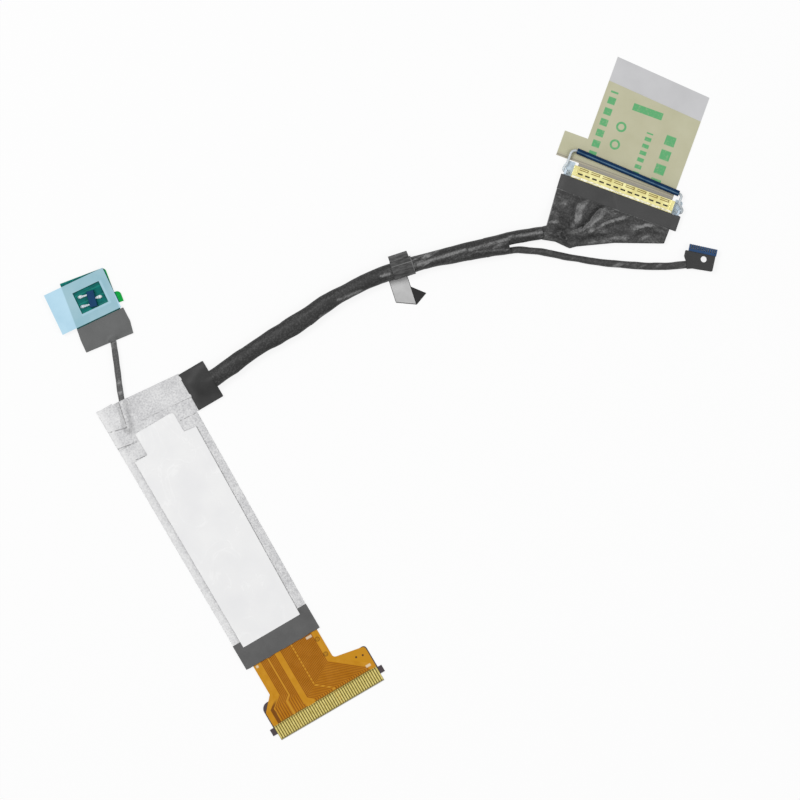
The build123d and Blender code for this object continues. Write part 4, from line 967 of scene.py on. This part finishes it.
def make_joint_tape(material):
    """Smooth black tape folded over the soldered wires, rising to the bundle."""
    left, right, height, hump_half, hump_height = 7.1, 12.4, 0.66, 1.9, 2.0
    crease = ripple(seed=21, size=3.4)

    def top(x, y):
        hump = smooth_step(x, left, right) * bell((y - JOINT_Y) / hump_half) * hump_height
        return height + 0.03 * crease(x, y) + hump + 0.04 * crease(x * 1.7, y * 1.7)
    near, far = JOINT_Y - JOINT_HALF, JOINT_Y + JOINT_HALF
    corners = [(left - 0.15, near), (right, near, 0.2), (right, far, 0.2), (left - 0.15, far)]
    piece = sheet("joint_wrap", corners, 0.0, top, material, spacing=0.42, seed=3)
    stand_for(piece, "black_tape", "joint_tape")


def wavy_edge(start, end, step, depth, seed):
    """Points between two corners that wander a little, as on torn tape."""
    draws = random.Random(seed)
    a, b = Vector(start), Vector(end)
    run = b - a
    normal = Vector((-run.y, run.x)).normalized()
    count = int(run.length / step)
    return [tuple(a + run * k / count + normal * draws.uniform(-depth, depth)) for k in range(1, count)]


def make_end_tape(material):
    low, high, left, right, height = 14.9, 20.2, -10.45, 5.85, 0.64
    wave = ripple(seed=31, size=5.0)
    corners = [(left, low + 0.1)] + wavy_edge((left, low), (right, low), step=0.7, depth=0.07, seed=5)
    corners += [(right, low), (right, high), (left, high)]
    piece = sheet("wound_end_tape", corners, 0.0, lambda x, y: height + 0.02 * wave(x, y), material, seed=6)
    stand_for(piece, "grey_tape", "end_tape")


def make_sleeve(material):
    """Cloth sleeve round the circuit, with the ridge of the sensor's lead and its overlapping seams."""
    left, right, flare, wing, near, far, fall = -10.35, 5.75, 0.75, 7.1, 16.5, 72.4, 1.6
    shoulder = JOINT_Y - JOINT_HALF
    inner, outer = Vector(SENSOR_ROUTE[0][:2]), Vector(SENSOR_ROUTE[1][:2])
    ridge_half, squareness = 0.8, 2.6
    crease = ripple(seed=41, size=7.0)
    fine = ripple(seed=42, size=2.3)

    def top(x, y):
        apart = nearest(Vector((x, y)), inner, outer, high=1.2)[1]
        ridge = (LEAD_TOP - SLEEVE_TOP) * math.exp(-(apart / ridge_half) ** squareness)
        sag = 0.035 * (crease(x, y) - 1) + 0.02 * (fine(x, y) - 1)
        return SLEEVE_TOP + ridge + (1 - smooth_step(ridge, 0.02, 0.2)) * sag
    corners = [(left, near), (right, near), (right + flare, shoulder), (wing, shoulder), (wing, far - fall),
               (left, far)]
    piece = sheet("shield", corners, 0.1, top, material, spacing=0.42, seed=8)
    stand_for(piece, "shield_cloth", "shield_sleeve")


def make_flag(material, liner_material, corner_material):
    """Tape folded round the bundle: a round band, a flat folded lip, the tail and its turned corner."""
    steps, around = 8, 32
    band, outer, inner, middle_z, wide, tall = 4.2, 1.74, 1.5, 1.56, 1.04, 0.88
    lip_low, lip_high, lip_droop, lip_middle = 1.85, 2.05, 0.12, 2
    stations = [band * (i / steps - 0.5) for i in range(steps + 1)]
    loop = [(x, inner) for x in stations] + [(x, outer) for x in reversed(stations)]
    vertices = [(x, radius * wide * math.cos(angle), middle_z + radius * tall * math.sin(angle))
                for angle in turns(around) for x, radius in loop]
    piece = new_piece("flag", vertices, skin(around, len(loop), joined=True), material, FLAG)
    stand_for(piece, "black_tape", "flag_tape")

    def lip_height(height):
        return lambda x, y: height - lip_droop * (y - lip_middle) ** 2
    tail = sheet("flag_tail", FLAG_TAIL, 0.0, TAPE, material, FLAG)
    fold = sheet("flag_corner", FLAG_CORNER, 0.0, 2 * TAPE, corner_material, FLAG, 0.6)
    lip = sheet("flag_lip", FLAG_LIP, lip_height(lip_low), lip_height(lip_high), material, FLAG, 0.4)
    backing = sheet("flag_backing", FLAG_BACKING, TAPE, 2 * TAPE, liner_material, FLAG)
    stand_for(backing, "grey_liner", "flag_liner")


def fold_height(folds, x, y):
    """The summed height of creases that run along listed lines and fade at their ends."""
    here = Vector((x, y))
    total = 0.0
    for line, height, half in folds:
        spots = [Vector(spot) for spot in line]
        near = [(*nearest(here, a, b), i) for i, (a, b) in enumerate(zip(spots, spots[1:]))]
        share, apart, i = min(near, key=lambda found: found[1])
        along = (i + share) / (len(line) - 1)
        fade = smooth_step(along, -0.12, 0.15) * (1 - smooth_step(along, 0.8, 1.08))
        total += height * fade * bell(apart / half)
    return total


def make_fan_wrap(material):
    """Crinkled wrap over the fanned wires, from the bundle to the plug."""
    entry, entry_height, entry_reach = Vector((-11.3, -11.9)), 1.35, 4.2
    mound, mound_height, mound_reach = Vector((-6, -10.5)), 0.25, 2.5
    height, fold_share, end_drop = 1.12, 1.3, 0.25
    crease = ripple(seed=51, size=2.3)
    big = ripple(seed=52, size=6.5)

    def top(x, y):
        here = Vector((x, y))
        base = height + entry_height * bell((here - entry).length / entry_reach)
        base += mound_height * bell((here - mound).length / mound_reach)
        rise = fold_share * fold_height(FAN_FOLDS, x, y) + 0.13 * crease(x, y) + 0.1 * big(x, y)
        calm = 1 - smooth_step(y, -3.9, -2.9)
        return base - end_drop * (1 - smooth_step(y, -13.2, -10.0)) + rise * calm
    piece = sheet("fanned_wrap", FAN_OUTLINE, 0.0, top, material, PANEL, 0.3, edge=0.12, seed=9)
    stand_for(piece, "black_tape", "fan_wrap")


def make_edge_tape(material):
    """Smooth tape over the wire ends, with the step where the wrap's fold runs under it."""
    left, right, low, height = -12.3, 12.3, -3.0, 1.16
    fold_depth, fold_half, droop_depth, droop_start = 0.16, 0.55, 0.28, 10.9
    wave = ripple(seed=61, size=6.0)

    def top(x, y):
        fold = fold_depth * bell((x + 1.0 + 0.7 * (y + 1.5)) / fold_half)
        droop = droop_depth * smooth_step(abs(x), droop_start, right)
        return height + 0.03 * wave(x, y) - fold - droop
    corners = [(left + 0.25, low), (right, low + 0.05), (right - 0.05, 0.0)]
    corners += wavy_edge((right - 0.05, 0.0), (left + 0.15, 0.0), step=0.4, depth=0.1, seed=14)
    corners += [(left + 0.1, 0.0)]
    piece = sheet("plug_edge_tape", corners, 0.15, top, material, PANEL, 0.45, edge=0.08, seed=10)
    stand_for(piece, "black_tape", "edge_tape")


def make_pull_bar(material):
    """The bent steel wire, round all the way."""
    steps, around = 6, 20
    line = [Vector(BAR_LINE[0])]
    for before, corner, after, bend in zip(BAR_LINE, BAR_LINE[1:], BAR_LINE[2:], BAR_BENDS):
        line += arc(Vector(before), Vector(corner), Vector(after), bend, steps)
    line.append(Vector(BAR_LINE[-1]))
    vertices = []
    for i, place in enumerate(line):
        run = run_at(line, i)
        for angle in turns(around):
            out = Vector((-run.y, run.x)) * BAR_DIA / 2 * math.cos(angle)
            vertices.append((place.x + out.x, place.y + out.y, BAR_Z + BAR_DIA / 2 * math.sin(angle)))
    piece = new_piece("pull_wire", vertices, skin(len(line), around), material, PANEL, "pull_bar")
    stand_for(piece, "bail_steel", "pull_bar")


def make_branch_body(material):
    """Tape body of the branch plug, with its locating hole."""
    height, dent = 1.5, 0.05
    puff = ripple(seed=71, size=3.0)

    def top(x, y):
        lead = math.exp(-((x + 2.9) / 0.9) ** 2 - ((y + 1.6) / 0.8) ** 2)
        return height + 0.05 * puff(x, y) - dent * lead
    hole = [Vector((HOLE_RADIUS * math.cos(angle), HOLE_RADIUS * math.sin(angle))) for angle in turns(24)]
    piece = sheet("branch_body", BRANCH_OUTLINE, 0.0, top, material, BRANCH, 0.4, [hole], edge=0.12, seed=11)
    stand_for(piece, "black_tape", "branch_tape")


def make_legs(material):
    """The chip's three legs, each flattened into a lump of solder at its outer end."""
    middle = Vector(CHIP_MIDDLE)
    lean = Matrix.Rotation(math.radians(CHIP_TILT), 2)
    root, half_width, widening = CHIP_HALF, 0.17, 0.17
    lift, arch, swell = 0.1, 0.12, 0.26
    for k, (side, across, reach) in enumerate(LEGS):
        foot = root + reach

        def width(out):
            return half_width + widening * smooth_step(out, root + 0.5, foot - 0.5)

        def top(x, y):
            here = lean.inverted() @ (Vector((x, y)) - middle)
            out = abs(here.x)
            lump = smooth_step(out, root + 0.5, foot - 0.6) * (1 - smooth_step(out, foot - 0.3, foot))
            round_off = 1 - 0.6 * ((here.y - across) / (width(out) + 0.05)) ** 2
            return BOARD_TOP + lift + (arch + swell * lump) * round_off
        half = [(root, 1), (root + 0.7, 1), (foot - 0.4, 1), (foot, 0.55)]
        profile = half + [(out, -share) for out, share in reversed(half)]
        corners = [tuple(middle + lean @ Vector((side * out, across + side * share * width(out))))
                   for out, share in profile]
        piece = sheet(f"chip_leg_{k}", corners, BOARD_TOP, top, material, SENSOR_FRAME, 0.12, edge=0.03,
                      seed=20 + k)
    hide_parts("chip_legs")


def make_sensor_tape(material):
    """Dark tape over the board's near edge, with the hump of the lead under it."""
    inverse = SENSOR_FRAME.inverted()
    near, far = (inverse @ Vector((*SENSOR_ROUTE[k][:2], 0)) for k in (3, 4))
    height, hump_height, hump_half, slope_depth = 0.68, 0.62, 0.8, 0.12
    wave = ripple(seed=81, size=4.0)

    def top(x, y):
        apart = nearest(Vector((x, y, 0)), near, far, low=-0.2)[1]
        hump = hump_height * math.exp(-(apart / hump_half) ** 4) * (1 - smooth_step(y, 0.1, 1.5))
        slope = slope_depth * (1 - smooth_step(y, 0.3, 2.6))
        return height - slope + hump + 0.02 * wave(x, y)
    piece = sheet("sensor_end_tape", SENSOR_TAPE, 0.0, top, material, SENSOR_FRAME, 0.4, seed=12)
    stand_for(piece, "grey_tape", "sensor_tape")


# Stage

def add_object(name, data):
    holder = bpy.data.objects.new(name, data)
    bpy.context.scene.collection.objects.link(holder)
    return holder


def light_rays(tree, *kinds):
    """One for the rays of each kind."""
    outputs = add_node(tree, "LightPath").outputs
    return [Field(outputs[f"Is {kind} Ray"]) for kind in kinds]


def make_floor():
    white = Shader("floor_white", Roughness=0.9, Base_Color=(FLOOR_TONE, FLOOR_TONE, FLOOR_TONE, 1))
    camera, glossy, through = light_rays(white.tree, "Camera", "Glossy", "Transmission")
    seen = (camera | (glossy | through)) * FLOOR_GLOW
    mixed = white.made("MixShader", [seen, Field(white.surface.outputs[0]), white.made("Emission")])
    white.tree.links.new(mixed.socket, white.tree.nodes["Material Output"].inputs["Surface"])
    mesh = bpy.data.meshes.new("floor")
    corners = [(-1, -1), (1, -1), (1, 1), (-1, 1)]
    mesh.from_pydata([(x * FLOOR_HALF, y * FLOOR_HALF, FLOOR_Z) for x, y in corners], [], [(0, 1, 2, 3)])
    mesh.materials.append(white.material)
    add_object("floor", mesh)


def make_backdrop():
    """White all round, dimmer as a light than as seen."""
    world = bpy.data.worlds.new("studio")
    bpy.context.scene.world = world
    world.use_nodes = True
    tree = world.node_tree
    camera, through = light_rays(tree, "Camera", "Transmission")
    dim, full = BACKDROP
    level = add_node(tree, "MapRange", {"Value": camera | through, "To Min": dim, "To Max": full})
    back = tree.nodes["Background"]
    back.inputs["Color"].default_value = (1, 1, 1, 1)
    tree.links.new(level.outputs[0], back.inputs["Strength"])


def make_lamp(name, place, size, power):
    lamp = bpy.data.lights.new(name, "AREA")
    lamp.shape = "DISK"
    lamp.size = size
    lamp.energy = power
    holder = add_object(name, lamp)
    holder.location = place
    aim = Vector((*VIEW_MIDDLE, 0)) * MM
    holder.rotation_euler = (aim - Vector(place)).to_track_quat("-Z", "Y").to_euler()


def make_camera():
    camera = bpy.data.cameras.new("camera")
    camera.lens = LENS
    camera.sensor_width = SENSOR
    camera.clip_start, camera.clip_end = CLIP
    holder = add_object("camera", camera)
    holder.location = (*(value * MM for value in VIEW_MIDDLE), VIEW_WIDTH * MM * LENS / SENSOR)
    holder.rotation_euler = (0, 0, math.radians(-VIEW_TURN))
    bpy.context.scene.camera = holder


bpy.context.scene.view_settings.view_transform = "Standard"
make_floor()
make_backdrop()
make_camera()
for lamp in LAMPS:
    make_lamp(*lamp)

BLACK = film_tape_paint("black_tape", grey(54))
CABLE_TAPE = wrap_paint("bundle_tape", FLAT, turn=8.0, dark=46, light=132, sheen_from=(34, 60),
                        lines=HIGHLIGHT_LINES)
CLOTH = cloth_paint()
make_flag(flag_paint(), film_tape_paint("flag_liner_grey", grey(190)),
          film_tape_paint("flag_corner_tape", grey(30)))
make_split_tape(CABLE_TAPE)
make_branch_body(BLACK)
make_main_cable(CABLE_TAPE)
make_branch_cable(wrap_paint("branch_lead_tape", FLAT, turn=37.0, dark=60, light=116))
make_short_leads(CABLE_TAPE, wrap_paint("sensor_wire_tape", FLAT, turn=-69.0, dark=84, light=168))
make_joint_tape(BLACK)
make_end_tape(film_tape_paint("wound_grey_tape", grey(91)))
make_sensor_tape(film_tape_paint("sensor_grey_tape", (98, 99, 99), SENSOR_FRAME))
make_legs(steel_paint("leg_solder", (168, 190, 202), (248, 252, 252)))
make_sleeve(CLOTH)
make_fan_wrap(wrap_paint("fan_wrap_fabric", PANEL, turn=-38.0, dark=54, light=142, lit=True))
make_edge_tape(film_tape_paint("plug_tape", grey(66), PANEL))
make_pull_bar(steel_paint("polished_wire", (172, 178, 182), (204, 212, 216)))

NODE_PAINTS = {
    "flex_circuit": circuit_paint(),
    "copper_traces": trace_paint(),
    "contact_fingers": finger_paint(),
    "plug_backing": plain_paint("backing", (72, 62, 66), contrast=0.15),
    "contact_support": plain_paint("support", (192, 190, 182), contrast=0.08),
    "shield_top_patch": CLOTH,
    "shield_corner_patch": CLOTH,
    "adhesive_pad": plain_paint("adhesive", (224, 222, 214), contrast=0.04),
    "adhesive_liner": white_liner_paint(),
    "flap_film": flap_film_paint(),
    "flap_liner": tan_liner_paint(),
    "panel_shell": shell_paint(),
    "ground_bar": solder_paint(),
    "panel_housing": housing_paint(),
    "panel_contacts": plain_paint("plug_contacts", (196, 170, 96), PANEL, Metallic=0.2, Roughness=0.35),
    "panel_ears": steel_paint("tinned_plate", (186, 204, 220), (216, 230, 240), metallic=0.15),
    "pull_bar_sleeve": tube_paint(),
    "branch_housing": plain_paint("blue_comb", (24, 66, 110), BRANCH, contrast=0.15),
    "branch_contacts": plain_paint("comb_contacts", (206, 204, 190), BRANCH, Metallic=0.4, Roughness=0.3),
    "sensor_board": board_paint(),
    "sensor_pad": plain_paint("pad", (120, 150, 150), SENSOR_FRAME),
    "sensor_liner": sensor_liner_paint(),
    "sensor_chip": plain_paint("chip", (10, 62, 104), SENSOR_FRAME, contrast=0.15, Specular_IOR_Level=0.15),
}
for node, material in NODE_PAINTS.items():
    paint_node(node, material)
